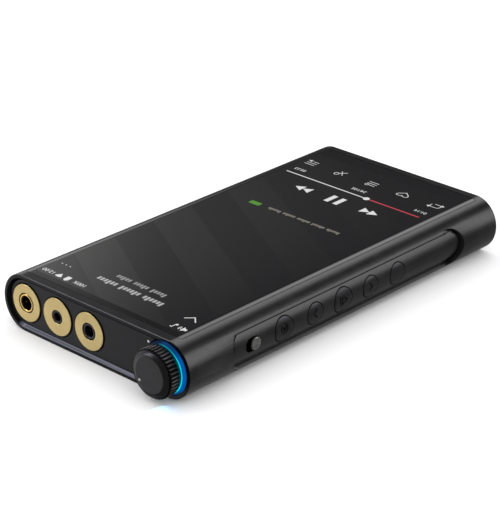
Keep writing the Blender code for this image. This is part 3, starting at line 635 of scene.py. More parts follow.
def make_materials():
    made = {key: lit_line(*settings) for key, settings in GLOWS.items()}
    for key, (name, dark, light, *settings) in FINISHES_AND_PAINTED_TONES.items():
        sockets = {"Specular_IOR_Level": SPECULAR[key]} if key in SPECULAR else {}
        made[key] = grained(name, (dark, light), *settings, **sockets)
    made["gold"] = spun("spun_gold", SPUN_GOLD, 0.3, "Y", 0.028, 0.005, 0.45)
    made["slider"] = spun("spun_steel", SPUN_STEEL, 0.24, "X", 0.05, 0.003, 0.88)
    made["glass"] = glass("screen_glass", (0.004, 0.004, 0.005), (0.035, 0.055))
    made["board"] = board_material()
    made["picture"] = picture_material()
    made["ring"] = ring_material()
    return made


# ---- housing ----
def end_mouth(end, inwards):
    """The chamfered mouth of an end and the seat of its plate."""
    slope = RIM_CHAMFER / PLATE_RECESS
    stations = (
        (end - inwards * REACH, RIM_WIDTH - REACH * slope),
        (end + inwards * PLATE_RECESS, PLATE_INSET),
        (end + inwards * MOUTH_DEPTH, PLATE_INSET),
    )
    return loft([[(x, y, z) for x, z in body_section(inset)] for y, inset in stations])


def pocket_outline():
    low = MID_Z - POCKET_HALF_HEIGHT
    high = MID_Z + POCKET_HALF_HEIGHT
    near, far = POCKET_NEAR_RADIUS, POCKET_FAR_RADIUS
    return (
        arc((POCKET_FAR - far, low + far), (far, far), -90, 0, 20)
        + arc((POCKET_FAR - far, high - far), (far, far), 0, 90, 20)
        + arc((POCKET_NEAR + near, high - near), (near, near), 90, 180, 16)
        + arc((POCKET_NEAR + near, low + near), (near, near), 180, 270, 16)
    )


def pocket_floor(proud=0.0):
    """The rounded floor of the side pocket, as a long rod along Y."""
    middle = (HALF_WIDTH - POCKET_DEPTH - POCKET_FLOOR_RADIUS, MID_Z)
    return rod(middle, POCKET_FLOOR_RADIUS + proud, "Y", JACK_END, USB_END, POCKET_STEPS)


def button_radius(name):
    low, high = node_box(f"{name}_button")
    return (high.z - low.z) / 2 - BUTTON_FLANGE


def outer_shell():
    """The obround body with a small round along both end edges."""
    break_edge = arc((0, 0), (EDGE_ROUND, EDGE_ROUND), 180, 90, 4)
    near = [(JACK_END + EDGE_ROUND + a, EDGE_ROUND - b) for a, b in break_edge]
    far = [(JACK_END + USB_END - y, inset) for y, inset in reversed(near)]
    return loft([[(x, y, z) for x, z in body_section(inset)] for y, inset in near + far])


def housing_face_finish_or_tone(face):
    """A housing face's place in the housing's list of finishes and painted tones: the ends' flat rim and
    the top strip beyond the glass take painted shade, and the pocket's lower ledge takes painted light.
    """
    body, chamfer, rim, ledge = range(len(HOUSING_FINISHES_AND_PAINTED_TONES))
    x, y, z = face.center / MM
    on_top = face.normal.z > TOP_SLANT and z > THICK - SEAM
    if on_top and not GLASS_LOW.y < y < GLASS_HIGH.y:
        return rim
    in_pocket = POCKET_NEAR < y < POCKET_FAR - POCKET_FAR_RADIUS and x > FLAT_HALF
    if in_pocket and face.normal.z > LEDGE_SLANT and z < MID_Z - SLOT_HEIGHT:
        return ledge
    if abs(y) < USB_END - PLATE_RECESS - SEAM:
        return body
    slant = abs(face.normal.y)
    if slant > FLAT_SLANT:
        return rim
    inside = abs(z - MID_Z) < MID_Z - RIM_WIDTH * 0.9
    facing_in = face.normal.z * (z - MID_Z) < 0 or inside
    return chamfer if slant > CHAMFER_SLANT and facing_in else body


def pocket_groove():
    """A thin groove in the pocket's floor, along its upper edge and round its near end."""
    high = MID_Z + GROOVE_HEIGHT
    near = POCKET_NEAR + GROOVE_INSET
    corner = arc((near + GROOVE_TURN, high - GROOVE_TURN), (GROOVE_TURN, GROOVE_TURN), 90, 180, 12)
    path = [(POCKET_FAR - POCKET_FAR_RADIUS, high), *corner, (near, MID_Z - GROOVE_HEIGHT / 2)]
    outline, _ = stroke(path, GROOVE_WIDTH)
    return prism(outline, "X", FLAT_HALF, HALF_WIDTH + REACH)


def make_housing(materials):
    finishes_and_tones = [materials[name] for name in HOUSING_FINISHES_AND_PAINTED_TONES]
    housing = mesh_object("housing_shell", outer_shell(), *finishes_and_tones)
    cavity = rounded_rectangle(
        (-CAVITY_HALF_WIDTH, CAVITY_FLOOR), (CAVITY_HALF_WIDTH, CAVITY_CEILING), CAVITY_RADIUS
    )
    inner_ends = (JACK_END + MOUTH_DEPTH - SEAM, USB_END - MOUTH_DEPTH + SEAM)
    cut(housing, prism(cavity, "Y", *inner_ends))
    cut(housing, end_mouth(JACK_END, 1))
    cut(housing, end_mouth(USB_END, -1))
    low = (GLASS_LOW.x - SEAM, GLASS_LOW.y - SEAM)
    high = (GLASS_HIGH.x + SEAM, GLASS_HIGH.y + SEAM)
    window = rounded_rectangle(low, high, GLASS_RADIUS + SEAM)
    cut(housing, prism(window, "Z", WINDOW_BOTTOM, THICK + REACH))
    for inset, top in ((-SEAM, COVER_SEAT_TOP), (COVER_LEDGE, COVER_WELL_TOP)):
        low = (COVER_LOW.x + inset, COVER_LOW.y + inset)
        high = (COVER_HIGH.x - inset, COVER_HIGH.y - inset)
        cut(housing, prism(rounded_rectangle(low, high, COVER_RADIUS - inset), "Z", -REACH, top))
    inner, outer = FLAT_HALF, HALF_WIDTH + REACH
    pocket = mesh_object("tool", prism(pocket_outline(), "X", inner, outer))
    cut(housing, bake(cut(pocket, pocket_floor())))
    groove = mesh_object("tool", pocket_groove())
    cut(housing, settle(cut(groove, pocket_floor(-GROOVE_WIDTH))))
    for name in BUTTONS:
        spot = centre(f"{name}_button")
        hole = rod((spot.y, MID_Z), button_radius(name) + BUTTON_GAP, "X", inner, outer)
        cut(housing, hole)
    slider_slot = obround((SLOT_CENTRE_Y, MID_Z), SLOT_LENGTH, SLOT_HEIGHT)
    cut(housing, prism(slider_slot, "X", inner, outer))
    cut(housing, rod(KNOB_AXIS, RING_SEAT, "Y", JACK_END - REACH, JACK_END + RING_SEAT_DEPTH))
    settle(housing)
    # each face takes its finish, or painted shade on the rim and top strips, or painted light on the
    # pocket's lower ledge
    for face in housing.data.polygons:
        face.material_index = housing_face_finish_or_tone(face)
    piece(housing, "chassis", "anodised_black", "main_housing")


def make_glass(materials):
    plan = rounded_rectangle((GLASS_LOW.x, GLASS_LOW.y), (GLASS_HIGH.x, GLASS_HIGH.y), GLASS_RADIUS)
    pane = mesh_object("screen_pane", prism(plan, "Z", GLASS_LOW.z, THICK + 1), materials["glass"])
    envelope = [[(x, y, z - GLASS_DROP) for x, z in body_section()] for y in (JACK_END - 1, USB_END + 1)]
    combine(pane, "INTERSECT", loft(envelope))
    soften(pane, 0.1, 2, 50)
    piece(settle(pane), "chassis", "screen_glass", "front_glass")


def make_rear_cover(materials):
    plan = rounded_rectangle((COVER_LOW.x, COVER_LOW.y), (COVER_HIGH.x, COVER_HIGH.y), COVER_RADIUS, 16)
    cover = mesh_object("rear_panel", prism(plan, "Z", COVER_LOW.z, COVER_HIGH.z), materials["rear"])
    soften(cover, 0.15)
    piece(settle(cover), "chassis", "rear_glass", "rear_cover")


# ---- jack end ----
def ring_profile(inner, outer, front, back, edge=0.15, steps=4):
    """A washer's half section with rounded front edges."""
    corner = (edge, edge)
    return (
        [(inner, back)]
        + arc((inner + edge, front + edge), corner, 180, 270, steps)
        + arc((outer - edge, front + edge), corner, 270, 360, steps)
        + [(outer, back)]
    )


# radii of each jack's opening, nose and bezel bore
JACKS = {
    "balanced_4_4": (2.3, 3.0, 3.25),
    "balanced_2_5": (1.38, 2.05, 2.22),
    "headphone_3_5": (1.78, 2.58, 2.78),
}
BEZEL_SPIGOT_RADIUS = 4.4
BEZEL_SPIGOT_GAP = 0.3
BEZEL_THICK = 0.7
BEZEL_GAP = 0.2             # round the bezel's washer
BEZEL_BREAK = 0.25          # chamfer on the panel's edge round it
LED_HOLE = 0.5
LED_RADIUS = 0.4
LED_ROUND = 0.18
LIP_LENGTH = 6.7
LIP_ROUND = 0.22
CONTACTS = 3                # springs seen in a jack's bore
CONTACT_TURN = 200          # degrees round the bore of the first one
CONTACT_SUNK = 0.05         # how far its middle lies inside the bore's wall
CONTACT_START = 1.6         # its depth behind the lip
CONTACT_STEP = 1.1          # and how much deeper each next one is
CONTACT_SIZE = (0.3, 0.5)   # how far it stands out, and half its length
BLOCK_START = 4.5           # depth of a jack's moulded block behind its lip
BLOCK_FLOOR = 1.2           # thickness left behind the bores


def make_jack_end_plate(materials):
    low, high = node_box("jack_end_plate")
    plate = mesh_object("jack_end_panel", prism(body_section(PLATE_INSET + SEAM), "Y", low.y, high.y),
                        materials["panel"])
    cut(plate, rod(KNOB_AXIS, RING_SEAT, "Y", low.y - 1, high.y + 1))
    for name in JACKS:
        spot = centre(f"bezel_{name}")
        bezel_low, bezel_high = node_box(f"bezel_{name}")
        seat = (bezel_high.z - bezel_low.z) / 2 + BEZEL_GAP
        step = bezel_low.y + BEZEL_THICK + BEZEL_BREAK
        spigot = BEZEL_SPIGOT_RADIUS + BEZEL_SPIGOT_GAP
        profile = [
            (0, low.y - REACH),
            (seat + BEZEL_BREAK, low.y - REACH),
            (seat + BEZEL_BREAK, low.y),
            (seat, low.y + BEZEL_BREAK),
            (seat, step),
            (spigot, step),
            (spigot, high.y + REACH),
            (0, high.y + REACH),
        ]
        cut(plate, turned(profile, (spot.x, MID_Z), "Y"))
    lens = centre("status_led")
    cut(plate, rod((lens.x, lens.z), LED_HOLE, "Y", low.y - REACH, high.y + REACH, 32))
    piece(settle(plate), "chassis", "panel_black", "jack_end_plate")


def make_status_light(materials):
    lens = centre("status_led")
    front, back = (corner.y for corner in node_box("status_led"))
    shoulder = arc((LED_RADIUS - LED_ROUND, front + LED_ROUND), (LED_ROUND, LED_ROUND), 270, 360, 4)
    dome = [(0, back), (0, front), *shoulder, (LED_RADIUS, back)]
    led = mesh_object("status_lens", turned(dome, (lens.x, lens.z), "Y", 32), materials["led"])
    piece(led, "chassis", "led_lens", "status_led")


def make_jacks(materials):
    for name, (bore, nose, ring_bore) in JACKS.items():
        low, high = node_box(f"bezel_{name}")
        middle = (centre(f"bezel_{name}").x, MID_Z)
        outer = (high.z - low.z) / 2
        back = low.y + BEZEL_THICK
        profile = ring_profile(ring_bore, outer, low.y, back)
        profile[0] = (ring_bore, high.y)
        profile += [(BEZEL_SPIGOT_RADIUS, back), (BEZEL_SPIGOT_RADIUS, high.y)]
        bezel = mesh_object(f"gold_bezel_{name}", turned(profile, middle, "Y"), materials["gold"])
        piece(settle(bezel), "chassis", "gold", f"bezel_{name}")
        make_jack_lining(name, middle, bore, nose, materials)


def make_jack_lining(name, middle, bore, nose, materials):
    """The jack's visible mouth: a lip with round edges, a stepped bore and its contact springs."""
    balanced = name == "balanced_4_4"
    node_name = "sleeve_balanced_4_4" if balanced else f"jack_{name}"
    front = node_box(node_name)[0].y
    finish = materials["sleeve_gold" if balanced else "jack"]
    lip = turned(ring_profile(bore, nose, front, front + LIP_LENGTH, LIP_ROUND, 5), middle, "Y")
    sleeve = settle(mesh_object(f"jack_lip_{name}" if balanced else f"jack_nose_{name}", lip, finish))
    if balanced:
        piece(sleeve, "chassis", "gold", node_name)
    make_contacts(name, middle, bore - CONTACT_SUNK, front, materials)
    if balanced:
        return
    low, high = node_box(node_name)
    block = mesh_object(
        f"jack_block_{name}", box((low.x, front + BLOCK_START, low.z), (high.x, high.y, high.z)), finish
    )
    deep = node_box("jack_balanced_2_5")[1].y - BLOCK_FLOOR
    cut(block, rod(middle, bore, "Y", front, deep, 48))
    piece(settle(block), "chassis", "black_plastic", node_name)
    piece(sleeve, "chassis", "black_plastic")


def make_contacts(name, middle, radius, front, materials):
    """The contact springs that stand out into a jack's bore, each deeper than the last."""
    bm = bmesh.new()
    proud, half = CONTACT_SIZE
    for i in range(CONTACTS):
        turn = math.radians(CONTACT_TURN + 360 / CONTACTS * i)
        spot = (middle[0] + radius * math.cos(turn), middle[1] + radius * math.sin(turn))
        start = front + CONTACT_START + CONTACT_STEP * i
        belly = arc((0, start + half), (proud, half), 270, 450, 8)[1:-1]
        turned([(0, start), *belly, (0, start + 2 * half)], spot, "Y", 16, bm)
    piece(mesh_object(f"jack_contacts_{name}", bm, materials["sleeve_gold"]), "chassis", "gold")


# ---- volume knob ----
DOT_ANGLE = 215             # degrees round the axis of the pointer dot
DOT_REACH = 4.9
DOT_RADIUS = 0.42
DOT_PROUD = 0.02
KNOB_BORE = 3.1
KNOB_STEPS = 128
# down the ribbed sleeve: distance from its low or high end, change of radius, share of the groove's depth
SLEEVE_FRONT = ((0.0, -0.42, 0.15), (0.12, -0.2, 0.7), (0.32, 0.0, 1.0))
SLEEVE_BACK = ((0.3, 0.0, 1.0), (0.1, -0.15, 0.7), (0.0, -0.35, 0.2))
CAP_BEVEL = (1.85, 2.0)     # radii of the cap's rounded bevel, across and along
CAP_FACE = 5.35             # radius of its flat face


def ridge_ring(y, radius, depth, samples=10):
    """One ring of the ribbed sleeve: round-shouldered ridges with narrow grooves between them."""
    points = []
    for i in range(KNOB_RIDGES * samples):
        share = (i % samples) / samples
        dip = 0.5 - 0.5 * math.cos(math.tau * share)
        turn = math.tau * i / (KNOB_RIDGES * samples)
        r = radius - depth * dip ** 1.1
        points.append((KNOB_AXIS[0] + r * math.cos(turn), y, KNOB_AXIS[1] + r * math.sin(turn)))
    return points


def make_knob(materials):
    low, high = KNOB_LOW.y, KNOB_HIGH.y
    stations = [(low + y, inset, share) for y, inset, share in SLEEVE_FRONT]
    stations += [(high - y, inset, share) for y, inset, share in SLEEVE_BACK]
    rings = [ridge_ring(y, KNOB_RADIUS + inset, KNOB_GROOVE * share) for y, inset, share in stations]
    sleeve = mesh_object("knob_ribbed_sleeve", loft(rings), materials["knob"], materials["groove"])
    cut(sleeve, rod(KNOB_AXIS, KNOB_BORE, "Y", low - REACH, high + REACH))
    settle(sleeve)
    # faces deep in the ribs' grooves get painted shade
    axis = Vector((KNOB_AXIS[0], KNOB_AXIS[1])) * MM
    for face in sleeve.data.polygons:
        depth = KNOB_RADIUS * MM - (Vector((face.center.x, face.center.z)) - axis).length
        face.material_index = 1 if depth > GROOVE_SHADE * KNOB_GROOVE * MM else 0
    piece(sleeve, "knob", "knob_metal", "volume_knob")


def make_knob_cap(materials):
    low, high = node_box("knob_cap")
    front, back = low.y + DOT_PROUD, high.y
    rim = (high.z - low.z) / 2
    bevel = arc((rim - CAP_BEVEL[0] - 0.1, front + CAP_BEVEL[1]), CAP_BEVEL, 270, 318, 10)
    edge = bevel[-1]
    profile = [
        (0, front),
        (CAP_FACE, front),
        *bevel,
        (edge[0] + 0.12, edge[1] + 0.02),
        (rim - 0.03, edge[1] + 0.16),
        (rim, back - 0.12),
        (rim - 0.12, back),
        (0, back),
    ]
    cap = mesh_object("knob_face_cap", turned(profile, KNOB_AXIS, "Y", KNOB_STEPS), materials["knob_cap"])
    piece(settle(cap), "knob", "knob_metal", "knob_cap")
    turn = math.radians(DOT_ANGLE)
    spot = (KNOB_AXIS[0] + DOT_REACH * math.cos(turn), KNOB_AXIS[1] + DOT_REACH * math.sin(turn))
    paint = rod(spot, DOT_RADIUS, "Y", front - DOT_PROUD, front + DOT_PROUD, 32)
    piece(mesh_object("knob_pointer_dot", paint, materials["dot"]), "knob", "knob_metal")


def make_light_ring(materials):
    low, high = RING_LOW.y, RING_HIGH.y
    outer = RING_RADIUS - RING_SLACK
    profile = [
        (RING_BORE, high),
        (RING_BORE, low),
        *arc((RING_FACE, low + 0.1), (0.1, 0.1), 270, 320, 3),
        (outer - 0.1, low + 0.8),
        (outer, low + 0.95),
        (outer, high),
    ]
    ring = mesh_object("light_ring_guide", turned(profile, KNOB_AXIS, "Y", KNOB_STEPS), materials["ring"])
    piece(settle(ring), "chassis", "light_guide", "light_ring")


# ---- buttons and hold slider ----
GLYPH_LINE = 0.42
CAP_EDGE = 0.07             # bevel on a cap's edges and engraving
SLIDER_RADIUS = 2.1
SLIDER_FOOT = 35.55         # X of the slider head's underside
SLIDER_ROUND = 0.35
TONGUE_HALF_HEIGHT = 3.0


def glyphs(name):
    """The lines engraved on a button, as (points, closed), in Y and Z about the cap's middle."""
    turn = arc((0, -0.1), (1.35, 1.35), 120, 420, 24)
    arrow = [(0.25, 1.75), (1.05, 1.15), (0.35, 0.6)]
    triangle = [(-0.45, 1.45), (1.65, 0.0), (-0.45, -1.45)]
    return {
        "power": [(turn, False), (arrow, False), (circle((0, -0.1), 0.42, 12), True)],
        "previous": [([(0.75, 1.5), (-0.65, 0.0), (0.75, -1.5)], False)],
        "play": [(triangle, True), ([(-1.45, 1.6), (-1.45, -1.6)], False)],
        "next": [([(-0.75, 1.5), (0.65, 0.0), (-0.75, -1.5)], False)],
        "function": [],
    }[name]


def engraved_lines(name):
    """A button's lines as open ones: each closed line is cut as two that meet."""
    for points, closed in glyphs(name):
        middle = len(points) // 2
        if closed:
            yield points[:middle + 1]
            yield points[middle:] + points[:1]
        else:
            yield points


def make_buttons(materials):
    for name in BUTTONS:
        low, _ = node_box(f"{name}_button")
        spot = centre(f"{name}_button")
        radius = button_radius(name) - BUTTON_SLACK
        flange = BUTTON_FLANGE_X[1]
        profile = [
            (0, low.x),
            (radius + BUTTON_FLANGE, low.x),
            (radius + BUTTON_FLANGE, flange),
            (radius, flange),
            (radius, HALF_WIDTH),
            (0, HALF_WIDTH),
        ]
        cap = mesh_object(f"{name}_button_cap", turned(profile, (spot.y, MID_Z), "X"), materials["button"])
        combine(cap, "INTERSECT", pocket_floor(BUTTON_PROUD))
        face = HALF_WIDTH - POCKET_DEPTH
        for points in engraved_lines(name):
            outline, _ = stroke([(spot.y + y, MID_Z + z) for y, z in points], GLYPH_LINE)
            cut(cap, prism(outline, "X", face - ENGRAVING, face + REACH))
        soften(cap, CAP_EDGE, 2, 50)
        piece(settle(cap), name + "_button", "anodised_black", f"{name}_button")


def make_hold_slider(materials):
    low, high = node_box("hold_slider")
    y = SLOT_CENTRE_Y + SLOT_LENGTH / 2 - SLIDER_RADIUS - SEAM
    shoulder = (SLIDER_RADIUS - SLIDER_ROUND, high.x - 0.55)
    profile = [
        (0, SLIDER_FOOT),
        (SLIDER_RADIUS, SLIDER_FOOT),
        (SLIDER_RADIUS, shoulder[1]),
        *arc(shoulder, (SLIDER_ROUND, SLIDER_ROUND), 0, 90, 4),
        (0.9, high.x - 0.28),
        (0, high.x - 0.34),
    ]
    head = mesh_object("hold_slider_head", turned(profile, (y, MID_Z), "X"), materials["slider"])
    piece(settle(head), "hold_slider", "polished_steel")
    near = (low.x, y - 4.7, MID_Z - TONGUE_HALF_HEIGHT)
    far = (BUTTON_FLANGE_X[1], y + 4.8, MID_Z + TONGUE_HALF_HEIGHT)
    plate = mesh_object("hold_slider_tongue", box(near, far), materials["plastic"])
    soften(plate, 0.15)
    piece(settle(plate), "hold_slider", "polished_steel", "hold_slider")


# ---- USB end ----
PORT_GAP = 0.5              # round the USB shell
PORT_LIP = 1.1              # and round its shallow countersink
PORT_LIP_DEPTH = 0.3
TORX_WAVE = 0.16            # how far the six lobes swing, as a share of the radius
TORX_RADIUS = 0.75
CONTACT_COUNT = 12
TONGUE_EDGE = 0.3           # USB tongue beyond its first and last contact


def torx(middle, radius, steps=36):
    points = []
    for i in range(steps):
        turn = math.tau * i / steps
        r = radius * (1 + TORX_WAVE * math.cos(6 * turn))
        points.append((middle[0] + r * math.cos(turn), middle[1] + r * math.sin(turn)))
    return points


def make_usb_end(materials):
    low, high = node_box("usb_end_plate")
    plate = mesh_object("usb_end_panel", prism(body_section(PLATE_INSET + SEAM), "Y", low.y, high.y),
                        materials["panel"])
    port_low, port_high = node_box("usb_socket")
    width, height = port_high.x - port_low.x, port_high.z - port_low.z
    middle = (centre("usb_socket").x, MID_Z)
    for grow, back in ((PORT_GAP, low.y - REACH), (PORT_LIP, high.y - PORT_LIP_DEPTH)):
        cut(plate, prism(obround(middle, width + grow, height + grow), "Y", back, high.y + REACH))
    tray_low, tray_high = node_box("card_tray")
    mouth = rounded_rectangle(
        (tray_low.x - SEAM, tray_low.z - SEAM), (tray_high.x + SEAM, tray_high.z + SEAM), TRAY_RADIUS + SEAM
    )
    cut(plate, prism(mouth, "Y", low.y - REACH, high.y + REACH))
    for i in (1, 2):
        x = centre(f"end_screw_{i}").x
        well = [
            (0, low.y - REACH),
            (1.0, low.y - REACH),
            (1.0, high.y - 0.7),
            (1.75, high.y - 0.7),
            (1.75, high.y - 0.15),
            (1.95, high.y + 0.05),
            (1.95, high.y + REACH),
            (0, high.y + REACH),
        ]
        cut(plate, turned(well, (x, MID_Z), "Y", 48))
        make_end_screw(i, x, materials)
    piece(settle(plate), "chassis", "panel_black", "usb_end_plate")
    make_usb_socket(port_low, port_high, materials)


def make_end_screw(i, x, materials):
    low, high = node_box(f"end_screw_{i}")
    profile = [
        (0, low.y),
        (0.6, low.y),
        (0.7, low.y + 0.2),
        (0.7, high.y - 0.45),
        (1.5, high.y - 0.45),
        *arc((1.38, high.y - 0.12), (0.12, 0.12), 0, 90, 4),
        (0, high.y),
    ]
    screw = mesh_object(f"torx_screw_{i}", turned(profile, (x, MID_Z), "Y", 48), materials["steel"])
    cut(screw, prism(torx((x, MID_Z), TORX_RADIUS), "Y", high.y - 0.35, high.y + REACH))
    piece(settle(screw), "chassis", "steel", f"end_screw_{i}")


def make_usb_socket(low, high, materials):
    x = (low.x + high.x) / 2
    width, height = high.x - low.x, high.z - low.z
    shell = mesh_object("usb_shell", prism(obround((x, MID_Z), width, height), "Y", low.y, high.y),
                        materials["steel"])
    cut(shell, prism(obround((x, MID_Z), width - 0.6, height - 0.6), "Y", high.y - 6.4, high.y + REACH))
    soften(shell, 0.06)
    piece(settle(shell), "chassis", "steel", "usb_socket")
    half = width / 2 - 1.1
    tongue = box((x - half, high.y - 6.3, MID_Z - 0.35), (x + half, high.y - 0.7, MID_Z + 0.35))
    blade = mesh_object("usb_tongue", tongue, materials["plastic"])
    soften(blade, 0.12)
    piece(settle(blade), "chassis", "black_plastic")
    bm = bmesh.new()
    for i in range(CONTACT_COUNT):
        left = x - half + TONGUE_EDGE + i * 2 * (half - TONGUE_EDGE) / CONTACT_COUNT
        box((left, high.y - 5.2, MID_Z - 0.38), (left + 0.24, high.y - 1.1, MID_Z - 0.355), bm)
        box((left, high.y - 5.2, MID_Z + 0.355), (left + 0.24, high.y - 1.1, MID_Z + 0.38), bm)
    contacts = mesh_object("usb_contacts", bm, materials["sleeve_gold"])
    piece(contacts, "chassis", "gold")


TRAY_RADIUS = 0.6
TRAY_EDGE = 0.08
PIN_HOLE = 0.45             # the ejector pin's hole, and how far it is from the tray's middle
PIN_HOLE_X = 5.2


def make_card_tray(materials):
    low, high = node_box("card_tray")
    x = (low.x + high.x) / 2
    lip = rounded_rectangle((low.x, low.z), (high.x, high.z), TRAY_RADIUS)
    tray = mesh_object("card_tray_lip", prism(lip, "Y", high.y - 1.7, high.y), materials["body"])
    soften(tray, TRAY_EDGE)
    cut(tray, rod((x + PIN_HOLE_X, MID_Z), PIN_HOLE, "Y", high.y - 1.2, high.y + REACH, 32))
    piece(settle(tray), "card_tray", "anodised_black", "card_tray")
    arm = box((x - 5.8, low.y, MID_Z - 0.5), (x + 5.8, high.y - 1.72, MID_Z + 0.5))
    tongue = mesh_object("card_tray_tongue", arm, materials["plastic"])
    cut(tongue, box((x - 5.0, low.y + 1.0, MID_Z - 0.1), (x + 5.0, low.y + 12.0, MID_Z + 2)))
    soften(tongue, TRAY_EDGE)
    piece(settle(tongue), "card_tray", "black_plastic")


# ---- screen marks ----
MARK_LOW = THICK - GLASS_DROP + 0.012
MARK_HIGH = THICK - 0.012


def on_screen(u, v):
    """A point that is u to the right and v down on the screen, which is read from the USB end."""
    return (-u, JACK_END + v)


def mark(bm, outline, holes=()):
    """Adds one flat mark to a shape, its points given in screen coordinates."""
    moved = [[on_screen(*point) for point in loop] for loop in (outline, *holes)]
    return prism(moved[0], "Z", MARK_LOW, MARK_HIGH, moved[1:], bm)


def line(bm, points, width=0.36, closed=False):
    return mark(bm, *stroke(points, width, closed))


def shifted(points, u, v, scale=1.0):
    return [(u + scale * a, v + scale * b) for a, b in points]


def greeked_words(bm, words, middle, v, size):
    """Rows of small blocks in place of words; each word is a count of blocks."""
    step = 0.56 * size
    total = sum(words) * step + (len(words) - 1) * step
    left = middle - total / 2
    for number, count in enumerate(words):
        for i in range(count):
            tall = 1.0 if (i * 3 + number) % 4 == 0 else 0.72
            low = (left, v + size / 2 - size * tall)
            mark(bm, rectangle(low, (left + 0.68 * step, v + size / 2)))
            left += step
        left += step


def figures(name, text, middle, v, size, material):
    """Plain numbers on the screen, as flat solids."""
    curve = bpy.data.curves.new(name, "FONT")
    curve.body = text
    curve.size = size * MM
    curve.align_x = "CENTER"
    curve.align_y = "CENTER"
    curve.extrude = (MARK_HIGH - MARK_LOW) / 2 * MM
    curve.resolution_u = 3
    source = bpy.data.objects.new(name, curve)
    bpy.context.scene.collection.objects.link(source)
    bpy.context.view_layer.update()
    graph = bpy.context.evaluated_depsgraph_get()
    mesh = bpy.data.meshes.new_from_object(source.evaluated_get(graph))
    bpy.data.objects.remove(source)
    x, y = on_screen(middle, v)
    height = (MARK_LOW + MARK_HIGH) / 2
    mesh.transform(Matrix.Translation(Vector((x, y, height)) * MM) @ Matrix.Rotation(math.pi, 4, "Z"))
    bm = bmesh.new()
    bm.from_mesh(mesh)
    bmesh.ops.remove_doubles(bm, verts=bm.verts, dist=MERGE)
    bmesh.ops.recalc_face_normals(bm, faces=bm.faces)
    bmesh.ops.scale(bm, vec=(1 / MM, 1 / MM, 1 / MM), verts=bm.verts)
    obj = mesh_object(name, bm, material)
    piece(obj, "chassis", "display")


def screen_piece(name, bm, material):
    return piece(mesh_object(name, bm, material), "chassis", "display")


def make_picture(materials):
    low, high = node_box("display_panel")
    plan = rounded_rectangle((low.x + 0.2, low.y + 0.2), (high.x - 0.2, high.y - 0.2), 1.0)
    surface = THICK - GLASS_DROP
    picture = prism(plan, "Z", surface - 0.3, surface + 0.006)
    screen_piece("screen_picture", picture, materials["picture"])


def make_status_marks(materials):
    bm = bmesh.new()
    v = 8.0
    horn = [(-31.0, -0.5), (-30.3, -0.5), (-29.3, -1.3), (-29.3, 1.3), (-30.3, 0.5), (-31.0, 0.5)]
    mark(bm, shifted(horn, 0.0, v))
    for reach in (0.55, 1.15):
        line(bm, arc((-29.2, v), (reach, reach), -50, 50, 6), 0.28)
    line(bm, [(-25.9, v + 0.9), (-25.9, v - 1.1), (-25.0, v - 0.8)], 0.3)
    mark(bm, circle((-26.3, v + 0.9), 0.5, 14))
    mark(bm, rounded_rectangle((18.6, v - 1.1), (20.4, v + 1.3), 0.25, 3))
    mark(bm, rectangle((19.1, v - 1.5), (19.9, v - 1.15)))
    mark(bm, [(23.0, v + 1.3), *arc((23.0, v + 1.3), (2.4, 2.4), -125, -55, 8)])
    line(bm, [(-29.3, 13.4), (-27.0, 15.7), (-24.7, 13.4)], 0.38)
    for u in (25.2, 27.0, 28.8):
        mark(bm, circle((u, 14.4), 0.24, 12))
    screen_piece("status_icons", bm, materials["white"])
    figures("battery_level", "100%", 13.9, v, 2.4, materials["white"])
    figures("clock_digits", "12:00", 27.7, v, 2.4, materials["white"])


def make_track_marks(materials):
    bm = bmesh.new()
    greeked_words(bm, (6, 6, 6), 0.0, 14.9, 2.5)
    screen_piece("greeked_title", bm, materials["title"])
    bm = bmesh.new()
    greeked_words(bm, (5, 5, 5), 0.0, 19.7, 2.2)
    screen_piece("greeked_subtitle", bm, materials["grey"])
    bm = bmesh.new()
    greeked_words(bm, (6, 6, 6, 6, 6), -3.2, 90.0, 1.6)
    screen_piece("greeked_details", bm, materials["pale"])
    bm = bmesh.new()
    mark(bm, rounded_rectangle((15.4, 88.9), (19.8, 91.1), 0.3, 3))
    screen_piece("plain_badge", bm, materials["green"])


NUMBERS = (("time_played", "01:14", -26.4), ("track_count", "24/105", -0.2), ("time_total", "05:23", 26.0))


def make_transport_marks(materials):
    bm = bmesh.new()
    v = 110.0
    for tip, way in ((-17.9, 1), (17.6, -1)):
        for k in (0, 1):
            start = tip + way * 3.3 * k
            mark(bm, [(start, v), (start + way * 3.3, v - 1.9), (start + way * 3.3, v + 1.9)])
    for left in (-2.7, 1.1):
        mark(bm, rectangle((left, v - 2.8), (left + 1.8, v + 2.8)))
    screen_piece("transport_icons", bm, materials["white"])
    done, knob = -28.8, -6.6
    bm = bmesh.new()
    mark(bm, rectangle((done, 117.75), (knob - 1.2, 118.25)))
    screen_piece("progress_played", bm, materials["red"])
    bm = bmesh.new()
    mark(bm, circle((knob, 118.0), 1.15, 32))
    mark(bm, rectangle((knob + 1.2, 117.75), (28.8, 118.25)))
    screen_piece("progress_left", bm, materials["white"])
    for name, text, u in NUMBERS:
        figures(name, text, u, 121.9, 2.2, materials["white"])


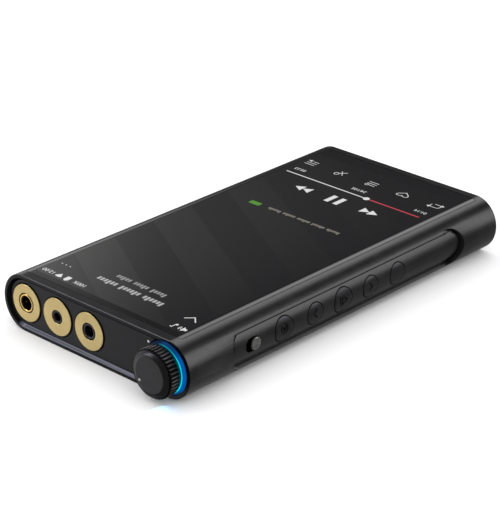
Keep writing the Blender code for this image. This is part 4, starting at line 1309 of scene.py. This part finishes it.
def make_menu_marks(materials):
    bm = bmesh.new()
    v = 129.0
    loop = rounded_rectangle((-1.9, -1.2), (1.9, 1.2), 0.9, 4)
    line(bm, shifted(loop[9:] + loop[:7], -27.0, v), 0.26)
    for u, way in ((-25.4, 1), (-28.6, -1)):
        mark(bm, shifted([(0.0, -0.75), (way * 1.2, 0.0), (0.0, 0.75)], u, v - way * 1.2))
    heart = []
    for i in range(36):
        t = math.tau * i / 36
        heart.append((2.3 * math.sin(t) ** 3,
                      -(1.55 * math.cos(t) - 0.6 * math.cos(2 * t) - 0.22 * math.cos(3 * t))))
    line(bm, shifted(heart, -13.4, v), 0.27, closed=True)
    for k, reach in enumerate((0.4, 2.0, 2.0)):
        line(bm, [(-2.0, v - 1.3 + 1.3 * k), (reach, v - 1.3 + 1.3 * k)], 0.26)
    line(bm, shifted(circle((1.3, -1.3), 0.62, 14), 0.0, v), 0.24, closed=True)
    line(bm, [(12.0, v + 1.6), (14.2, v - 0.5)], 0.3)
    line(bm, shifted(circle((1.4, -1.2), 0.85, 16), 13.4, v), 0.26, closed=True)
    line(bm, [(12.2, v - 1.4), (14.4, v + 1.5)], 0.24)
    for k, reach in enumerate((2.1, 2.1, 0.2)):
        line(bm, [(24.9, v - 1.4 + 1.4 * k), (27.0 + reach, v - 1.4 + 1.4 * k)], 0.26)
    mark(bm, [(28.0, v + 0.8), (29.6, v + 1.5), (28.0, v + 2.2)])
    screen_piece("menu_icons", bm, materials["white"])


def make_screen(materials):
    make_picture(materials)
    make_status_marks(materials)
    make_track_marks(materials)
    make_transport_marks(materials)
    make_menu_marks(materials)


# ---- inner pieces that keep their CAD shape ----
INNER = {
    "display": ("display_panel",),
    "plastic": ("display_frame", "jack_balanced_4_4"),
    "magnesium": ("mid_frame",),
    "steel": (
        *("knob_shaft", "encoder", "encoder_nut", "hold_switch", "card_socket"),
        *("processor_shield", "dac_shield", "amplifier_shield"),
        *[f"{name}_switch" for name in BUTTONS],
        *[f"board_screw_{i}" for i in range(1, 5)],
    ),
    "board": ("light_ring_board", "button_board", "main_board", "battery_board"),
    "brass": tuple(f"standoff_{i}" for i in range(1, 5)),
    "wrap": ("battery",),
}


def finish_inner_pieces(materials):
    for finish, names in INNER.items():
        for name in names:
            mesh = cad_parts[name].data
            mesh.materials.clear()
            mesh.materials.append(materials[finish])


# ---- studio ----
AZIMUTH = 42.603            # camera's direction from the player, and its roll, in degrees
ELEVATION = 25.132
ROLL = 0.455
CAMERA_DISTANCE = 648.98
CAMERA_TARGET = (-0.596, -3.873, 8.491)
LENS = 146.12
FLOOR_HALF = 6000
FLOOR_THICK = 20
FLOOR_TOP = -0.01


def make_camera():
    azimuth, elevation, roll = (math.radians(angle) for angle in (AZIMUTH, ELEVATION, ROLL))
    back = Vector((math.sin(azimuth) * math.cos(elevation), -math.cos(azimuth) * math.cos(elevation),
                   math.sin(elevation)))
    right = Vector((math.cos(azimuth), math.sin(azimuth), 0))
    up = back.cross(right)
    across = right * math.cos(roll) + up * math.sin(roll)
    above = up * math.cos(roll) - right * math.sin(roll)
    camera = bpy.data.objects.new("camera", bpy.data.cameras.new("camera"))
    camera.data.lens = LENS
    camera.data.sensor_fit = "HORIZONTAL"
    camera.data.sensor_width = 36
    camera.data.clip_start = 0.01
    turn = Matrix((across, above, back)).transposed().to_4x4()
    spot = (Vector(CAMERA_TARGET) + back * CAMERA_DISTANCE) * MM
    camera.matrix_world = Matrix.Translation(spot) @ turn
    bpy.context.scene.collection.objects.link(camera)
    bpy.context.scene.camera = camera


# soft boxes seen in the gloss: direction, full and zero reach in degrees, colour
SOFT_BOXES = (
    ((-0.254, 0.667, 0.698), 11, 20, (2.3, 2.3, 2.3)),
    ((0.674, 0.667, 0.318), 12, 24, (2.0, 2.0, 2.0)),
    ((-0.933, 0.25, 0.259), 20, 30, (1.1, 1.1, 1.1)),
    ((-0.42, -0.30, 0.855), 8, 21, (2.6, 2.6, 2.8)),
    ((-0.613, -0.427, 0.649), 5, 11, (5.0, 5.0, 5.6)),
    ((-0.72, -0.63, 0.29), 7, 17, (4.5, 4.5, 4.8)),
    ((-0.85, -0.40, -0.35), 12, 27, (1.15, 1.15, 1.15)),
    ((0.0, 0.67, -0.74), 30, 62, (0.16, 0.16, 0.16)),
)
ROOM = (0.11, 0.11, 0.11)
DAYLIGHT = 1.4


def make_world():
    """The gloss sees dark room and soft boxes; everything else is lit by an even pale sky."""
    world = bpy.data.worlds.new("studio")
    bpy.context.scene.world = world
    world.use_nodes = True
    world.cycles.sampling_method = "NONE"
    tree = world.node_tree
    tree.nodes.clear()
    direction = node(tree, "TexCoord").outputs["Generated"]
    total = node(tree, "CombineXYZ", {"X": ROOM[0], "Y": ROOM[1], "Z": ROOM[2]}).outputs["Vector"]
    for aim, full, none, colour in SOFT_BOXES:
        both_ways = {0: direction, 1: Vector(aim).normalized()}
        closeness = node(tree, "VectorMath", both_ways, operation="DOT_PRODUCT")
        reach = (math.cos(math.radians(none)), math.cos(math.radians(full)))
        share = remap(tree, closeness.outputs["Value"], reach, (0, 1), smooth=True)
        lit = node(tree, "VectorMath", {0: colour, 3: share}, operation="SCALE").outputs["Vector"]
        total = node(tree, "VectorMath", {0: total, 1: lit}, operation="ADD").outputs["Vector"]
    gloss = node(tree, "Background", {"Color": total})
    pale = node(tree, "Background", {"Color": (1.0, 1.0, 1.0, 1.0), "Strength": DAYLIGHT})
    is_gloss = node(tree, "LightPath").outputs["Is Glossy Ray"]
    both = node(tree, "MixShader", {0: is_gloss, 1: pale.outputs[0], 2: gloss.outputs[0]})
    node(tree, "OutputWorld", {"Surface": both.outputs[0]})


def area_light(name, spot, size, power, colour=(1.0, 1.0, 1.0), target=(0, 0, 0)):
    light = bpy.data.lights.new(name, "AREA")
    light.shape = "DISK"
    light.size = size * MM
    light.energy = power
    light.color = colour
    lamp = bpy.data.objects.new(name, light)
    lamp.location = Vector(spot) * MM
    lamp.rotation_euler = (Vector(spot) - Vector(target)).to_track_quat("Z", "Y").to_euler()
    lamp.visible_glossy = False
    bpy.context.scene.collection.objects.link(lamp)


def make_studio():
    material, tree, shader = start_material("pale_floor", 0.9, Specular_IOR_Level=0.0)
    soft = noise(tree, object_coordinates(tree), 400.0)
    connect(tree, shader, Base_Color=blend_colours(tree, soft, (0.9, 0.9, 0.905), (0.92, 0.92, 0.925)))
    slab = box((-FLOOR_HALF, -FLOOR_HALF, -FLOOR_THICK), (FLOOR_HALF, FLOOR_HALF, FLOOR_TOP))
    floor = mesh_object("floor", slab, material)
    floor.visible_glossy = False
    area_light("key", (-1300, 150, 1100), 700, 3.0)
    area_light("ring_glow", (34.0, -79.5, 1.6), 6, 0.00015, (0.1, 0.45, 1.0), (36.0, -80.0, 0))
    make_world()
    make_camera()
    settings = bpy.context.scene.view_settings
    settings.view_transform = "Standard"
    settings.look = "None"


def build():
    make_studio()
    materials = make_materials()
    make_housing(materials)
    make_glass(materials)
    make_rear_cover(materials)
    make_jack_end_plate(materials)
    make_status_light(materials)
    make_jacks(materials)
    make_knob(materials)
    make_knob_cap(materials)
    make_light_ring(materials)
    make_buttons(materials)
    make_hold_slider(materials)
    make_usb_end(materials)
    make_card_tray(materials)
    make_screen(materials)
    finish_inner_pieces(materials)


build()
